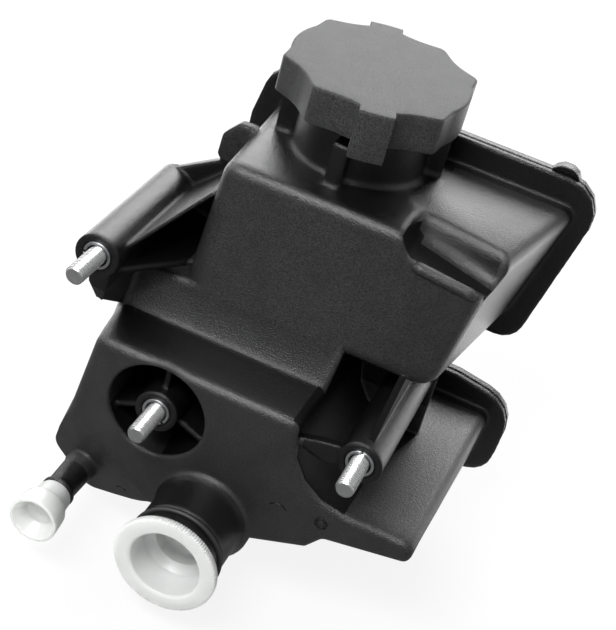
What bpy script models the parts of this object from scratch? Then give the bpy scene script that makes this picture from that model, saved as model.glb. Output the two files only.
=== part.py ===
"""Power steering fluid reservoir, in metres, +Z up.

The origin is the seat centre of the middle bolt boss. The seats, the bolts and both pipes face
-Y, the filler neck points up +Z, and the seam between the two mouldings is a plane across Y.
"""

import math

import bmesh
import bpy
import mathutils

# Walls and fits.
WALL = 0.0028
FIT_GAP = 0.0003
WELD_GAP = 0.0003
RIB = 0.0024

# Depth of the mouldings, measured from the seats.
SHOULDER_Y = 0.008
SHELF_Y = 0.0184
UPPER_FRONT_Y = 0.0256
RAMP_Y = 0.0256
FLANGE_Y = 0.082
FLANGE_THICKNESS = 0.0025
REAR_DEPTH = 0.014
REAR_WALL = 0.0025
REAR_DRAFT = 0.0012
FLANGE_LIP = 0.0088

# Heights of the chambers.
TOP_Z = 0.076
SHELF_Z = 0.0174
SHELF_RISE = 0.0027
RAMP_TOP_Z = 0.0322
POCKET_FLOOR_Z = -0.0074
UPPER_FLOOR_Z = 0.0285
CREST_TILT = 0.339
STEP_LEFT_X = 0.0515
STEP_RIGHT_X = 0.096
STEP_DEPTH_Y = 0.0176
STEP_TAPER = 0.20
STEP_DROP_Z = 0.0074
STEP_FALL = 0.10

# Bolt bosses: left, middle and right seats as (x, z).
LEFT_BOSS = (-0.0285, 0.0449)
MIDDLE_BOSS = (0.0, 0.0)
RIGHT_BOSS = (0.0646, 0.0136)
BOSS_RADIUS = 0.007
BOSS_LENGTH = 0.0555
SLEEVE_RADIUS = 0.0045
SLEEVE_WALL = 0.001
SLEEVE_SLIT = 0.0009
SLEEVE_PROUD = 0.0002
SLEEVE_TURNS = (180, -48, 90)

# Captive bolts.
BOLT_RADIUS = 0.003
BOLT_REACH = 0.014
BOLT_FLANGE_RADIUS = 0.0065
BOLT_FLANGE_THICKNESS = 0.0014
BOLT_HEAD_RADIUS = 0.00577
BOLT_GAP = 0.0004
BOLT_HEAD_HEIGHT = 0.0055
BOLT_TIP = 0.001

# Tunnel round the middle boss.
TUNNEL_MOUTH_RADIUS = 0.01625
TUNNEL_FLOOR_RADIUS = 0.0143
TUNNEL_REAR_RADIUS = 0.0125
TUNNEL_FLOOR_Y = BOSS_LENGTH - 0.0055
TUNNEL_FLOOR_THICKNESS = 0.0035
TUNNEL_WALL = 0.0024
TUNNEL_RIB_ANGLES = (90, 205, 336)

# Pocket round the right boss.
POCKET_LEFT_X = 0.0446
POCKET_RADIUS = 0.0205

# Filler neck, its stop bar and its ribs as (angle, reach).
NECK_X = 0.0245
NECK_Y = 0.0626
NECK_RADIUS = 0.0212
NECK_BORE = NECK_RADIUS - 0.0034
NECK_FOOT = 0.0006
NECK_RIM_Z = 0.0993
STOP_BAR_LEFT_X = 0.0227
STOP_BAR_RIGHT_X = 0.0275
STOP_BAR_FRONT_Y = NECK_Y - NECK_RADIUS - 0.0062
NECK_RIB_ANGLES = (13, 191)
NECK_RIB_REACH = NECK_RADIUS + 0.0055
NECK_RIB_TOP_Z = 0.0900

# Filler cap.
CAP_CREST = NECK_RADIUS + 0.0108
CAP_CREST_FALL = 0.0017
CAP_SCALLOP = 0.0025
CAP_LOBES = 10
CAP_LOBE_POINTS = 8
CAP_TAB_RADIUS = NECK_RADIUS + 0.0119
CAP_TAB_ANGLE = 286
CAP_TAB_HALF = 9.7
CAP_TAB_DROP = 0.0038
CAP_BOTTOM_Z = 0.0942
CAP_TOP_Z = 0.1057
CAP_ROOF = 0.0035
CAP_COLLAR_WALL = 0.0024
CAP_SKIRT_WALL = 0.0019
CAP_EDGE = 0.0008
THREAD_GAP = 0.0007
SEAL_THICKNESS = 0.0023

# Dipstick under the cap.
STICK_WIDTH = 0.007
STICK_THICKNESS = 0.0018
STICK_HUB_RADIUS = 0.005
STICK_HUB_DEPTH = 0.005
STICK_SOCKET_WALL = 0.0018
STICK_LENGTH = 0.064
STICK_NOTCHES = 3
STICK_NOTCH = 0.0012

# Outlet pipe.
OUTLET_X = 0.0221
OUTLET_Z = -0.0312
OUTLET_RADIUS = 0.0147
OUTLET_REACH = 0.024
OUTLET_BORE = 0.0129
OUTLET_INNER_BORE = 0.0105
OUTLET_SOCKET_DEPTH = 0.018
OUTLET_WELL_Y = 0.031
OUTLET_FLARE = 0.004
O_RING_SECTION = 0.0014
O_RING_SETBACK = 0.0058

# Outlet plug.
PLUG_FLANGE_RADIUS = 0.0186
PLUG_FLANGE_THICKNESS = 0.0026
PLUG_BODY_DEPTH = 0.0155
PLUG_WALL = 0.0011
PLUG_STEP_DEPTH = 0.0085
PLUG_STEP_RADIUS = 0.0088
PLUG_TEETH = 60
PLUG_TOOTH = 0.0005

# Return nozzle.
RETURN_X = -0.0219
RETURN_Z = -0.0366
RETURN_ROOT_RADIUS = 0.0056
RETURN_BARREL_RADIUS = 0.0051
RETURN_BEAD_RADIUS = 0.0056
RETURN_TIP_RADIUS = 0.0042
RETURN_BORE = 0.0027
RETURN_ROOT_Y = 0.0032
RETURN_BEAD_Y = -0.0104
RETURN_BEAD_WIDTH = 0.0022
RETURN_TIP_Y = -0.0208
RETURN_CAP_MOUTH_Y = -0.0275
RETURN_CAP_NARROW = 0.0053
RETURN_CAP_WIDE = 0.0081
RETURN_CAP_WALL = 0.0012
RETURN_CAP_FLOOR = 0.0014

# Strainer basket in the outlet well.
STRAINER_FLANGE = 0.0015
STRAINER_RING = 0.0091
STRAINER_LENGTH = 0.0255
STRAINER_BARS = 6
STRAINER_BAR_WIDTH = 0.0022
MESH_WALL = 0.0005

# Baffle plate between the chambers, and the throat that it lies over.
THROAT_LEFT_X = -0.0012
THROAT_RIGHT_X = 0.0405
THROAT_FRONT_Y = 0.0320
BAFFLE_THICKNESS = 0.0018
BAFFLE_LEFT_X = -0.0042
BAFFLE_RIGHT_X = 0.0480
BAFFLE_HOLE_RADIUS = 0.0034

# Roundness.
ROUND_STEPS = 32
FINE_STEPS = 40
CORNER_STEPS = 4
EDGE_STEPS = 3
MERGE = 0.000003

SEAM_Y = FLANGE_Y + FLANGE_THICKNESS
REAR_FLANGE_Y = SEAM_Y + WELD_GAP
REAR_WALL_Y = REAR_FLANGE_Y + FLANGE_THICKNESS
BACK_Y = REAR_WALL_Y + REAR_DEPTH


def clear_scene():
    for old in list(bpy.data.objects):
        bpy.data.objects.remove(old, do_unlink=True)


def material(name, colour, roughness, metallic=0.0):
    """A Principled finish in linear colour."""
    made = bpy.data.materials.new(name)
    made.use_nodes = True
    shader = made.node_tree.nodes["Principled BSDF"]
    shader.inputs["Base Color"].default_value = (*colour, 1.0)
    shader.inputs["Roughness"].default_value = roughness
    shader.inputs["Metallic"].default_value = metallic
    return made


def finish(obj, finish_material, angle=32):
    """Gives a piece its material and smooth shading between sharp edges."""
    obj.data.materials.clear()
    obj.data.materials.append(finish_material)
    obj.data.shade_smooth()
    obj.data.set_sharp_from_angle(angle=math.radians(angle))
    return obj


def mesh_object(name, points, faces):
    """A closed mesh whose faces point out."""
    mesh = bpy.data.meshes.new(name)
    mesh.from_pydata(points, [], faces)
    shape = bmesh.new()
    shape.from_mesh(mesh)
    bmesh.ops.recalc_face_normals(shape, faces=shape.faces)
    bmesh.ops.triangulate(shape, faces=shape.faces)
    shape.to_mesh(mesh)
    shape.free()
    obj = bpy.data.objects.new(name, mesh)
    bpy.context.scene.collection.objects.link(obj)
    return obj


def tidy(mesh):
    """Merges the points that a Boolean leaves in one place and simplifies its flat faces."""
    shape = bmesh.new()
    shape.from_mesh(mesh)
    bmesh.ops.remove_doubles(shape, verts=shape.verts, dist=MERGE)
    bmesh.ops.dissolve_degenerate(shape, edges=shape.edges, dist=MERGE)
    bmesh.ops.dissolve_limit(shape, angle_limit=0.0004, verts=shape.verts, edges=shape.edges)
    bmesh.ops.triangulate(shape, faces=shape.faces)
    shape.to_mesh(mesh)
    shape.free()


def join(target, tool, operation):
    """Applies one Boolean between two closed solids and removes the second one."""
    modifier = target.modifiers.new(operation.lower(), "BOOLEAN")
    modifier.operation = operation
    modifier.solver = "EXACT"
    modifier.object = tool
    tool.hide_render = True
    tool.display_type = "WIRE"
    graph = bpy.context.evaluated_depsgraph_get()
    result = bpy.data.meshes.new_from_object(target.evaluated_get(graph))
    tidy(result)
    target.modifiers.clear()
    old = target.data
    target.data = result
    bpy.data.meshes.remove(old)
    bpy.data.objects.remove(tool, do_unlink=True)
    return target


def add(target, *tools):
    for tool in tools:
        join(target, tool, "UNION")
    return target


def cut(target, *tools):
    for tool in tools:
        join(target, tool, "DIFFERENCE")
    return target


def loft(name, rings):
    """Skins equal rings of points, one after another, and closes both ends."""
    size = len(rings[0])
    points = [point for ring in rings for point in ring]
    faces = [list(range(size)), list(range((len(rings) - 1) * size, len(rings) * size))]
    for level in range(len(rings) - 1):
        for i in range(size):
            low = level * size
            high = low + size
            following = (i + 1) % size
            faces.append((low + i, low + following, high + following, high + i))
    return mesh_object(name, points, faces)


def prism(name, outline, axis, low, high):
    """Extrudes a flat outline along X, Y or Z between two values."""
    place = {
        "X": lambda a, b, h: (h, a, b),
        "Y": lambda a, b, h: (a, h, b),
        "Z": lambda a, b, h: (a, b, h),
    }[axis]
    return loft(name, [[place(a, b, h) for a, b in outline] for h in (low, high)])


def revolve(name, profile, centre, axis, steps=ROUND_STEPS):
    """Turns a profile of (radius, height) about an axis along Y or Z through centre.

    A profile that starts and ends on the axis is closed by its two poles. Any other profile is
    a closed loop, such as the section of a ring.
    """
    x, y, z = centre
    place = {
        "Y": lambda r, h, a: (x + r * math.cos(a), y + h, z + r * math.sin(a)),
        "Z": lambda r, h, a: (x + r * math.cos(a), y + r * math.sin(a), z + h),
    }[axis]
    on_axis = profile[0][0] == 0 and profile[-1][0] == 0
    rings = profile[1:-1] if on_axis else profile
    points = [place(r, h, 2 * math.pi * i / steps) for r, h in rings for i in range(steps)]
    faces = []
    last = len(rings) - 1 if on_axis else len(rings)
    for level in range(last):
        low = level * steps
        high = (level + 1) % len(rings) * steps
        for i in range(steps):
            j = (i + 1) % steps
            faces.append((low + i, low + j, high + j, high + i))
    if on_axis:
        for radius_height, low in ((profile[0], 0), (profile[-1], last * steps)):
            pole = len(points)
            points.append(place(0, radius_height[1], 0))
            faces += [(low + i, low + (i + 1) % steps, pole) for i in range(steps)]
    return mesh_object(name, points, faces)


def rod(name, radius, low, high, centre, axis="Y", steps=ROUND_STEPS, high_radius=None):
    """A cylinder, or a cone if the radius at its high end differs."""
    top = radius if high_radius is None else high_radius
    profile = [(0, low), (radius, low), (top, high), (0, high)]
    return revolve(name, profile, centre, axis, steps)


def rounded(corners, inset=0.0, steps=CORNER_STEPS):
    """An anticlockwise outline of (a, b, radius) corners, moved inwards, with round corners.

    An outside corner loses the inset from its radius and an inside corner gains it. A radius is
    limited by the shorter of its two sides.
    """
    count = len(corners)
    sides = []
    for i in range(count):
        a, b = corners[i][:2]
        c, d = corners[(i + 1) % count][:2]
        length = math.hypot(c - a, d - b)
        along = ((c - a) / length, (d - b) / length)
        sides.append((a - along[1] * inset, b + along[0] * inset, along))
    moved = []
    for i in range(count):
        a, b, (u, v) = sides[i - 1]
        c, d, (s, t) = sides[i]
        cross = u * t - v * s
        reach = ((c - a) * t - (d - b) * s) / cross
        moved.append((a + u * reach, b + v * reach, cross))
    points = []
    for i in range(count):
        a, b, cross = moved[i]
        before = moved[i - 1]
        after = moved[(i + 1) % count]
        back = (before[0] - a, before[1] - b)
        ahead = (after[0] - a, after[1] - b)
        back_length = math.hypot(*back)
        ahead_length = math.hypot(*ahead)
        back = (back[0] / back_length, back[1] / back_length)
        ahead = (ahead[0] / ahead_length, ahead[1] / ahead_length)
        half = math.acos(max(-1.0, min(1.0, back[0] * ahead[0] + back[1] * ahead[1]))) / 2
        wanted = corners[i][2] - inset if cross > 0 else corners[i][2] + inset
        limit = 0.49 * min(back_length, ahead_length) * math.tan(half)
        if cross < 0:
            limit *= 1.9
        radius = max(min(wanted, limit), 0.0002)
        distance = radius / math.sin(half)
        middle = (back[0] + ahead[0], back[1] + ahead[1])
        scale = distance / math.hypot(*middle)
        centre = (a + middle[0] * scale, b + middle[1] * scale)
        tangent = radius / math.tan(half)
        start = (a + back[0] * tangent, b + back[1] * tangent)
        first = math.atan2(start[1] - centre[1], start[0] - centre[0])
        sweep = (math.pi - 2 * half) * (1 if cross > 0 else -1)
        for step in range(steps + 1):
            turn = first + sweep * step / steps
            points.append((centre[0] + radius * math.cos(turn), centre[1] + radius * math.sin(turn)))
    return points


def between(stations, y):
    """The corners at depth y, between the two nearest stations."""
    for (low, first), (high, second) in zip(stations, stations[1:]):
        if y <= high:
            break
    share = (y - low) / (high - low)
    return [
        tuple(p + (q - p) * share for p, q in zip(one, two)) for one, two in zip(first, second)
    ]


def chamber(name, stations, edge, inset, end_y):
    """A drafted box with a rounded front edge, from corner lists at several depths."""
    front = stations[0][0] + inset
    edge = max(edge - inset, 0.0004)
    depths = []
    for step in range(EDGE_STEPS + 1):
        turn = math.pi / 2 * step / EDGE_STEPS
        depths.append((front + edge * (1 - math.cos(turn)), edge * (1 - math.sin(turn))))
    depths += [(y, 0.0) for y, _ in stations if front + edge + 0.001 < y < end_y - 0.001]
    depths.append((end_y, 0.0))
    rings = []
    for y, rounding in depths:
        outline = rounded(between(stations, y), inset + rounding)
        rings.append([(a, y, b) for a, b in outline])
    return loft(name, rings)


def lower_stations():
    """Corners of the lower chamber at its face, shoulder, shelf, ramp and seam.

    Each row holds the depth, the three lower left corners, the bottom from left to right, the
    right end, the pocket's side and radius, the roof and the roof's left corner.
    """
    shoulder_z = SHELF_Z + SHELF_RISE * SHOULDER_Y / SHELF_Y
    rows = [
        (0.0, (-27.9, -13.0, -33.6, -34.6, -20.0, -47.4), (4.3, -36.4, 33.0, -34.8),
         (56.7, -26.0, 61.1, -20.2, 88.3, -15.2), 88.8, 0.0, 0.0, SHELF_Z, -23.6),
        (SHOULDER_Y, (-30.0, -13.3, -34.3, -35.0, -20.5, -48.0), (4.5, -37.2, 33.0, -36.0),
         (57.2, -27.0, 61.6, -21.2, 88.0, -15.2), 89.4, 0.4, 0.2, shoulder_z, -24.5),
        (SHELF_Y, (-31.7, -13.6, -35.2, -35.3, -21.0, -48.4), (4.5, -38.6, 33.4, -36.8),
         (57.6, -28.0, 61.9, -22.2, 88.4, -16.4), 89.7, 1.0, 0.5, SHELF_Z + SHELF_RISE, -25.3),
        (RAMP_Y, (-32.7, -13.7, -35.8, -35.6, -21.4, -48.7), (4.5, -39.4, 33.7, -37.2),
         (57.9, -28.6, 62.2, -22.9, 88.7, -17.4), 90.0, 1.4, 0.7, RAMP_TOP_Z, -26.3),
        (FLANGE_Y, (-37.5, -14.0, -39.0, -37.0, -24.0, -51.0), (4.5, -46.2, 36.0, -40.2),
         (60.0, -33.2, 64.0, -29.5, 90.4, -25.5), 91.6, 5.0, 3.0, RAMP_TOP_Z, -30.0),
    ]
    radii = (0.003, 0.006, 0.006, 0.006, 0.006, 0.003, 0.003, 0.003)
    stations = []
    for depth, left, bottom, lobe, right, widening, tightening, roof, roof_left in rows:
        flat = [value / 1000 for value in left + bottom + lobe]
        corners = [(flat[2 * i], flat[2 * i + 1], radii[i]) for i in range(8)]
        notch_x = POCKET_LEFT_X + widening / 1000
        corners.append((right / 1000, POCKET_FLOOR_Z, 0.0035))
        corners.append((notch_x, POCKET_FLOOR_Z, POCKET_RADIUS - tightening / 1000))
        corners.append((notch_x, roof, 0.003))
        corners.append((roof_left / 1000, roof, 0.004))
        stations.append((depth, corners))
    return stations


def lower_left_wedge(shift):
    """What the sloping lower left of the face leaves out, moved back by shift."""
    start = (-0.0255, -0.01385)
    length = math.hypot(0.0279, 0.0197)
    along = (0.0279 / length, -0.0197 / length)
    out = (along[1], -along[0])
    section = [(-0.0015, -0.003), (0.032, -0.003), (0.032, 0.032 * CREST_TILT + shift)]
    section.append((-0.0015, -0.0015 * CREST_TILT + shift))
    rings = []
    for run in (-0.022, 0.052):
        x = start[0] + along[0] * run
        z = start[1] + along[1] * run
        rings.append([(x + out[0] * d, y, z + out[1] * d) for d, y in section])
    return loft("lower_left_wedge", rings)


def upper_stations():
    """Corners of the upper chamber at its face and at the seam."""
    face = [
        (-0.0092, UPPER_FLOOR_Z, 0.006),
        (0.0738, UPPER_FLOOR_Z, 0.007),
        (0.0808, TOP_Z, 0.005),
        (-0.0052, TOP_Z, 0.005),
    ]
    seam = [
        (-0.0150, UPPER_FLOOR_Z, 0.006),
        (0.0828, UPPER_FLOOR_Z, 0.008),
        (0.0938, TOP_Z, 0.0035),
        (-0.0084, TOP_Z, 0.006),
    ]
    return [(UPPER_FRONT_Y, face), (FLANGE_Y, seam)]


def flange_corners():
    """Outline of the seam flange, with slots behind the left and right bosses."""
    slot_low = RIGHT_BOSS[1] - 0.0123
    slot_high = RIGHT_BOSS[1] + 0.0093
    slot_left = RIGHT_BOSS[0] - 0.0103
    left_edge = LEFT_BOSS[0] + 0.0108
    left_shelf = LEFT_BOSS[1] - 0.0083
    return [
        (-0.0442, -0.0130, 0.010),
        (-0.0462, -0.0405, 0.014),
        (-0.0260, -0.0590, 0.012),
        (0.0060, -0.0535, 0.010),
        (0.0370, -0.0475, 0.010),
        (0.0630, -0.0400, 0.010),
        (0.0972, -0.0318, 0.009),
        (0.0984, slot_low - 0.0038, 0.0125),
        (0.0760, slot_low, 0.010),
        (slot_left, slot_low, 0.009),
        (slot_left, slot_high, 0.009),
        (0.0893, slot_high - 0.0005, 0.008),
        (0.1012, TOP_Z + FLANGE_LIP, 0.0115),
        (-0.0140, TOP_Z + FLANGE_LIP, 0.009),
        (left_edge, 0.0660, 0.006),
        (left_edge, left_shelf, 0.004),
        (-0.0400, left_shelf - 0.001, 0.007),
    ]


def ring_sector(inner, outer, start, end, steps):
    """Outline of part of a ring about the neck, between two angles in degrees."""
    turns = [math.radians(start + (end - start) * i / steps) for i in range(steps + 1)]
    outside = [(NECK_X + outer * math.cos(t), NECK_Y + outer * math.sin(t)) for t in turns]
    inside = [(NECK_X + inner * math.cos(t), NECK_Y + inner * math.sin(t)) for t in turns]
    return outside + inside[::-1]


def left_webs():
    """The left boss's sloping web, low web, rear plate with its raised end, and foot."""
    lx, lz = LEFT_BOSS
    end = BOSS_LENGTH
    side_x = -0.0060
    thick = 0.0016

    def web(name, start, finish, front, back):
        """A plate between two lines along Y, whose front edge runs from the boss to the body."""
        (x0, z0), (x1, z1) = start, finish
        low = [(x0, front, z0), (x1, back, z1), (x1, end, z1), (x0, end, z0)]
        return loft(name, [low, [(x, y, z - thick) for x, y, z in low]])

    rear = [
        (lx - 0.001, lz + 0.0068, 0.0010),
        (lx - 0.001, lz - 0.0040, 0.0010),
        (side_x, 0.0340, 0.0010),
        (side_x, 0.0756, 0.0010),
        (-0.0115, 0.0753, 0.0025),
        (-0.0162, 0.0700, 0.0030),
        (-0.0166, 0.0628, 0.0015),
        (-0.0149, 0.0607, 0.0008),
    ]
    foot = [
        (lx - 0.0020, lz - 0.0040),
        (lx - 0.0012, 0.0352),
        (lx + 0.0018, 0.0312),
        (lx + 0.0040, 0.0304),
        (lx + 0.0050, lz - 0.0040),
    ]
    stay = [(0.0009, lz), (0.0009, 0.0306), (0.0200, 0.0185), (end, 0.0185), (end, lz)]
    return [
        web("left_gusset", (lx + 0.0040, lz + 0.0011), (side_x, lz + 0.0191), 0.0015, 0.0330),
        web("left_low_web", (lx + 0.0050, lz - 0.0037), (side_x, lz - 0.0077), 0.0015, 0.0330),
        prism("left_rear_plate", rounded(rear), "Y", end - 0.0028, end),
        prism("left_foot", foot, "Y", 0.0006, 0.0090),
        prism("left_stay", stay, "X", lx + 0.0018, lx + 0.0040),
    ]


def right_webs():
    """The right boss's hanging web, with its sloping front edge, its front web and bulkhead."""
    rx, rz = RIGHT_BOSS
    end = BOSS_LENGTH
    under = UPPER_FLOOR_Z + 0.0018
    hanger = [
        (0.0014, rz + 0.003),
        (end, rz + 0.003),
        (end, under),
        (UPPER_FRONT_Y + 0.0024, under),
        (UPPER_FRONT_Y + 0.0012, under + 0.0006),
        (0.0014, rz + BOSS_RADIUS - 0.001),
    ]
    front_web = [
        (POCKET_LEFT_X - 0.001, rz - 0.0020),
        (POCKET_LEFT_X - 0.001, rz - 0.0034),
        (rx - 0.0150, rz - 0.0056),
        (rx - 0.0098, rz - 0.0067),
        (rx - 0.0050, rz - 0.0045),
        (rx - 0.0040, rz + 0.0020),
        (rx - 0.0142, rz + 0.0001),
    ]
    bulkhead = [
        (POCKET_LEFT_X + 0.0010, POCKET_FLOOR_Z - 0.0015),
        (rx + 0.0082, POCKET_FLOOR_Z - 0.0015),
        (rx + 0.0082, under),
        (POCKET_LEFT_X + 0.0010, under),
    ]
    return [
        prism("right_hanger", hanger, "X", rx - RIB / 6, rx + RIB * 0.7),
        prism("right_front_web", front_web, "Y", 0.002, 0.002 + RIB),
        prism("right_bulkhead", bulkhead, "Y", end - 0.0028, end),
    ]


def tunnel_shapes():
    """The tunnel's tube, its two bores, and the middle boss with its floor and ribs."""
    centre = (MIDDLE_BOSS[0], 0.0, MIDDLE_BOSS[1])
    floor_back = TUNNEL_FLOOR_Y + TUNNEL_FLOOR_THICKNESS
    tube_profile = [
        (0, 0.0008),
        (TUNNEL_MOUTH_RADIUS + TUNNEL_WALL, 0.0008),
        (TUNNEL_FLOOR_RADIUS + TUNNEL_WALL, TUNNEL_FLOOR_Y),
        (TUNNEL_REAR_RADIUS + TUNNEL_WALL + 0.001, floor_back),
        (TUNNEL_REAR_RADIUS + TUNNEL_WALL + 0.001, SEAM_Y),
        (0, SEAM_Y),
    ]
    tube = revolve("tunnel_tube", tube_profile, centre, "Y", FINE_STEPS)
    mouth_profile = [
        (0, -0.001),
        (TUNNEL_MOUTH_RADIUS + 0.0014, -0.001),
        (TUNNEL_MOUTH_RADIUS, 0.0004),
        (TUNNEL_FLOOR_RADIUS, TUNNEL_FLOOR_Y),
        (0, TUNNEL_FLOOR_Y),
    ]
    mouth = revolve("tunnel_mouth", mouth_profile, centre, "Y", FINE_STEPS)
    back = rod(
        "tunnel_back",
        TUNNEL_REAR_RADIUS,
        floor_back,
        SEAM_Y + 0.001,
        centre,
        steps=FINE_STEPS,
        high_radius=TUNNEL_REAR_RADIUS + 0.001,
    )
    ribs = []
    for angle in TUNNEL_RIB_ANGLES:
        turn = math.radians(angle)
        along = (math.cos(turn), math.sin(turn))
        across = (-along[1] * 0.0008, along[0] * 0.0008)
        near = BOSS_RADIUS - 0.001
        far = TUNNEL_MOUTH_RADIUS + TUNNEL_WALL / 2
        outline = [
            (near * along[0] - across[0], near * along[1] - across[1]),
            (far * along[0] - across[0], far * along[1] - across[1]),
            (far * along[0] + across[0], far * along[1] + across[1]),
            (near * along[0] + across[0], near * along[1] + across[1]),
        ]
        ribs.append(prism("tunnel_rib", outline, "Y", 0.004, TUNNEL_FLOOR_Y + 0.001))
    return tube, [mouth, back], ribs


def boss(name, place):
    return rod(name, BOSS_RADIUS, 0.0, BOSS_LENGTH, (place[0], 0.0, place[1]))


def boss_bore(name, place):
    radius = SLEEVE_RADIUS + FIT_GAP
    return rod(name, radius, -0.002, BOSS_LENGTH + 0.002, (place[0], 0.0, place[1]))


def outlet_body():
    """The outlet pipe, flared at its root and grooved near its mouth, and the well behind it."""
    centre = (OUTLET_X, 0.0, OUTLET_Z)
    groove = -OUTLET_REACH + O_RING_SETBACK
    floor = OUTLET_RADIUS - O_RING_SECTION
    profile = [
        (0, -OUTLET_REACH),
        (OUTLET_RADIUS - 0.0006, -OUTLET_REACH),
        (OUTLET_RADIUS, -OUTLET_REACH + 0.0006),
        (OUTLET_RADIUS, groove - O_RING_SECTION),
        (floor, groove - O_RING_SECTION),
        (floor, groove + O_RING_SECTION),
        (OUTLET_RADIUS, groove + O_RING_SECTION),
        (OUTLET_RADIUS, -OUTLET_FLARE),
        (OUTLET_RADIUS + 0.0007, -0.0015),
        (OUTLET_RADIUS + 0.0022, 0.0006),
        (OUTLET_RADIUS + 0.0022, 0.004),
        (OUTLET_INNER_BORE + WALL, 0.009),
        (OUTLET_INNER_BORE + WALL, OUTLET_WELL_Y - 0.003),
        (OUTLET_INNER_BORE + WALL - 0.0015, OUTLET_WELL_Y),
        (0, OUTLET_WELL_Y),
    ]
    return revolve("outlet_body", profile, centre, "Y", FINE_STEPS)


def outlet_bores():
    centre = (OUTLET_X, 0.0, OUTLET_Z)
    socket_end = -OUTLET_REACH + OUTLET_SOCKET_DEPTH
    return [
        rod("outlet_socket", OUTLET_BORE, -OUTLET_REACH - 0.001, socket_end, centre, steps=FINE_STEPS),
        rod("outlet_bore", OUTLET_INNER_BORE, socket_end - 0.001, OUTLET_WELL_Y + 0.006, centre),
    ]


def return_nozzle():
    """The return nozzle: a drafted barrel with a hose bead, and a thinner tip inside its cap."""
    centre = (RETURN_X, 0.0, RETURN_Z)
    bead_front = RETURN_BEAD_Y - RETURN_BEAD_WIDTH
    profile = [
        (0, RETURN_TIP_Y),
        (RETURN_TIP_RADIUS - 0.0008, RETURN_TIP_Y),
        (RETURN_TIP_RADIUS, RETURN_TIP_Y + 0.0016),
        (RETURN_TIP_RADIUS, bead_front),
        (RETURN_BEAD_RADIUS - 0.0005, bead_front),
        (RETURN_BEAD_RADIUS, bead_front + 0.0006),
        (RETURN_BEAD_RADIUS, RETURN_BEAD_Y - 0.0008),
        (RETURN_BARREL_RADIUS - 0.0003, RETURN_BEAD_Y),
        (RETURN_BARREL_RADIUS, RETURN_ROOT_Y - 0.0012),
        (RETURN_ROOT_RADIUS, RETURN_ROOT_Y),
        (RETURN_ROOT_RADIUS, 0.0125),
        (0, 0.0125),
    ]
    return revolve("return_body", profile, centre, "Y", ROUND_STEPS)


def step_place(x):
    """The back wall's depth and the lip's height at x: the step narrows and falls to the right."""
    along = x - STEP_LEFT_X
    back = UPPER_FRONT_Y + STEP_DEPTH_Y - STEP_TAPER * along
    return back, TOP_Z - STEP_DROP_Z - STEP_FALL * along


def top_step():
    """The scooped step along the right of the upper chamber's top front edge, behind a low lip."""
    front = UPPER_FRONT_Y
    rings = []
    end = STEP_RIGHT_X - STEP_LEFT_X
    for run, closing, rise in ((0.0, 4.2, 6.2), (0.8, 2.2, 4.4), (2.2, 0.9, 2.3), (4.2, 0.2, 0.7), (end * 1000, 0.0, 0.0)):
        x = STEP_LEFT_X + run / 1000
        back, lip = step_place(x)
        back -= closing / 1000
        lip += rise / 1000
        profile = [
            (front - 0.004, TOP_Z + 0.004),
            (front - 0.004, lip - 0.0004),
            (front + 0.0008, lip),
            (front + 0.0020, lip - 0.0001),
            (front + 0.0026, lip - 0.0018),
            (front + 0.0042, lip - 0.0019),
            (back - 0.0038, lip - 0.0006),
            (back - 0.0018, lip + 0.0010),
            (back - 0.0006, lip + 0.0034),
            (back, TOP_Z - 0.0024),
            (back + 0.0008, TOP_Z - 0.0008),
            (back + 0.0024, TOP_Z + 0.0002),
            (back + 0.0024, TOP_Z + 0.004),
        ]
        rings.append([(x, y, z) for y, z in profile])
    return loft("top_step", rings)


def step_lining():
    """The wall under the step, which closes the chamber where the step is cut."""
    rings = []
    for x in (STEP_LEFT_X - WALL, STEP_RIGHT_X + 0.004):
        back, lip = step_place(x)
        profile = [
            (UPPER_FRONT_Y + 0.0008, lip - 0.0046),
            (back + 0.0006, lip - 0.0036),
            (back + 0.0050, lip + 0.0010),
            (back + 0.0054, TOP_Z + 0.001),
            (UPPER_FRONT_Y + 0.0008, TOP_Z + 0.001),
        ]
        rings.append([(x, y, z) for y, z in profile])
    return loft("step_lining", rings)


def seam_flange(name, low_y):
    outline = rounded(flange_corners())
    return prism(name, outline, "Y", low_y, low_y + FLANGE_THICKNESS)


def outer_body():
    """The outside of both chambers with the flange."""
    body = chamber("front_shell", lower_stations(), 0.0025, 0.0, SEAM_Y)
    cut(body, lower_left_wedge(0.0))
    add(body, chamber("upper", upper_stations(), 0.0036, 0.0, SEAM_Y))
    add(body, seam_flange("front_flange", FLANGE_Y))
    return cut(body, top_step())


def cavities():
    """The space inside, less the tunnel's tube, the outlet well and the wall under the step."""
    lower = chamber("lower_cavity", lower_stations(), 0.0025, WALL, SEAM_Y + 0.001)
    cut(lower, lower_left_wedge(WALL * 1.06))
    upper = chamber("upper_cavity", upper_stations(), 0.0036, WALL, SEAM_Y + 0.001)
    cut(upper, step_lining())
    throat = [
        (THROAT_LEFT_X, RAMP_TOP_Z - 0.008, 0.003),
        (THROAT_RIGHT_X, RAMP_TOP_Z - 0.008, 0.003),
        (THROAT_RIGHT_X, RAMP_TOP_Z + 0.004, 0.003),
        (THROAT_LEFT_X, RAMP_TOP_Z + 0.004, 0.003),
    ]
    add(upper, prism("throat", rounded(throat), "Y", THROAT_FRONT_Y, SEAM_Y + 0.0012))
    return add(lower, upper)


def neck_body():
    profile = [
        (0, TOP_Z - WALL / 2),
        (NECK_RADIUS + NECK_FOOT, TOP_Z - WALL / 2),
        (NECK_RADIUS + NECK_FOOT, TOP_Z + 0.0002),
        (NECK_RADIUS, TOP_Z + 0.0002 + NECK_FOOT),
        (NECK_RADIUS, NECK_RIM_Z - 0.0008),
        (NECK_RADIUS - 0.0008, NECK_RIM_Z),
        (0, NECK_RIM_Z),
    ]
    return revolve("neck", profile, (NECK_X, NECK_Y, 0.0), "Z", FINE_STEPS)


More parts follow.
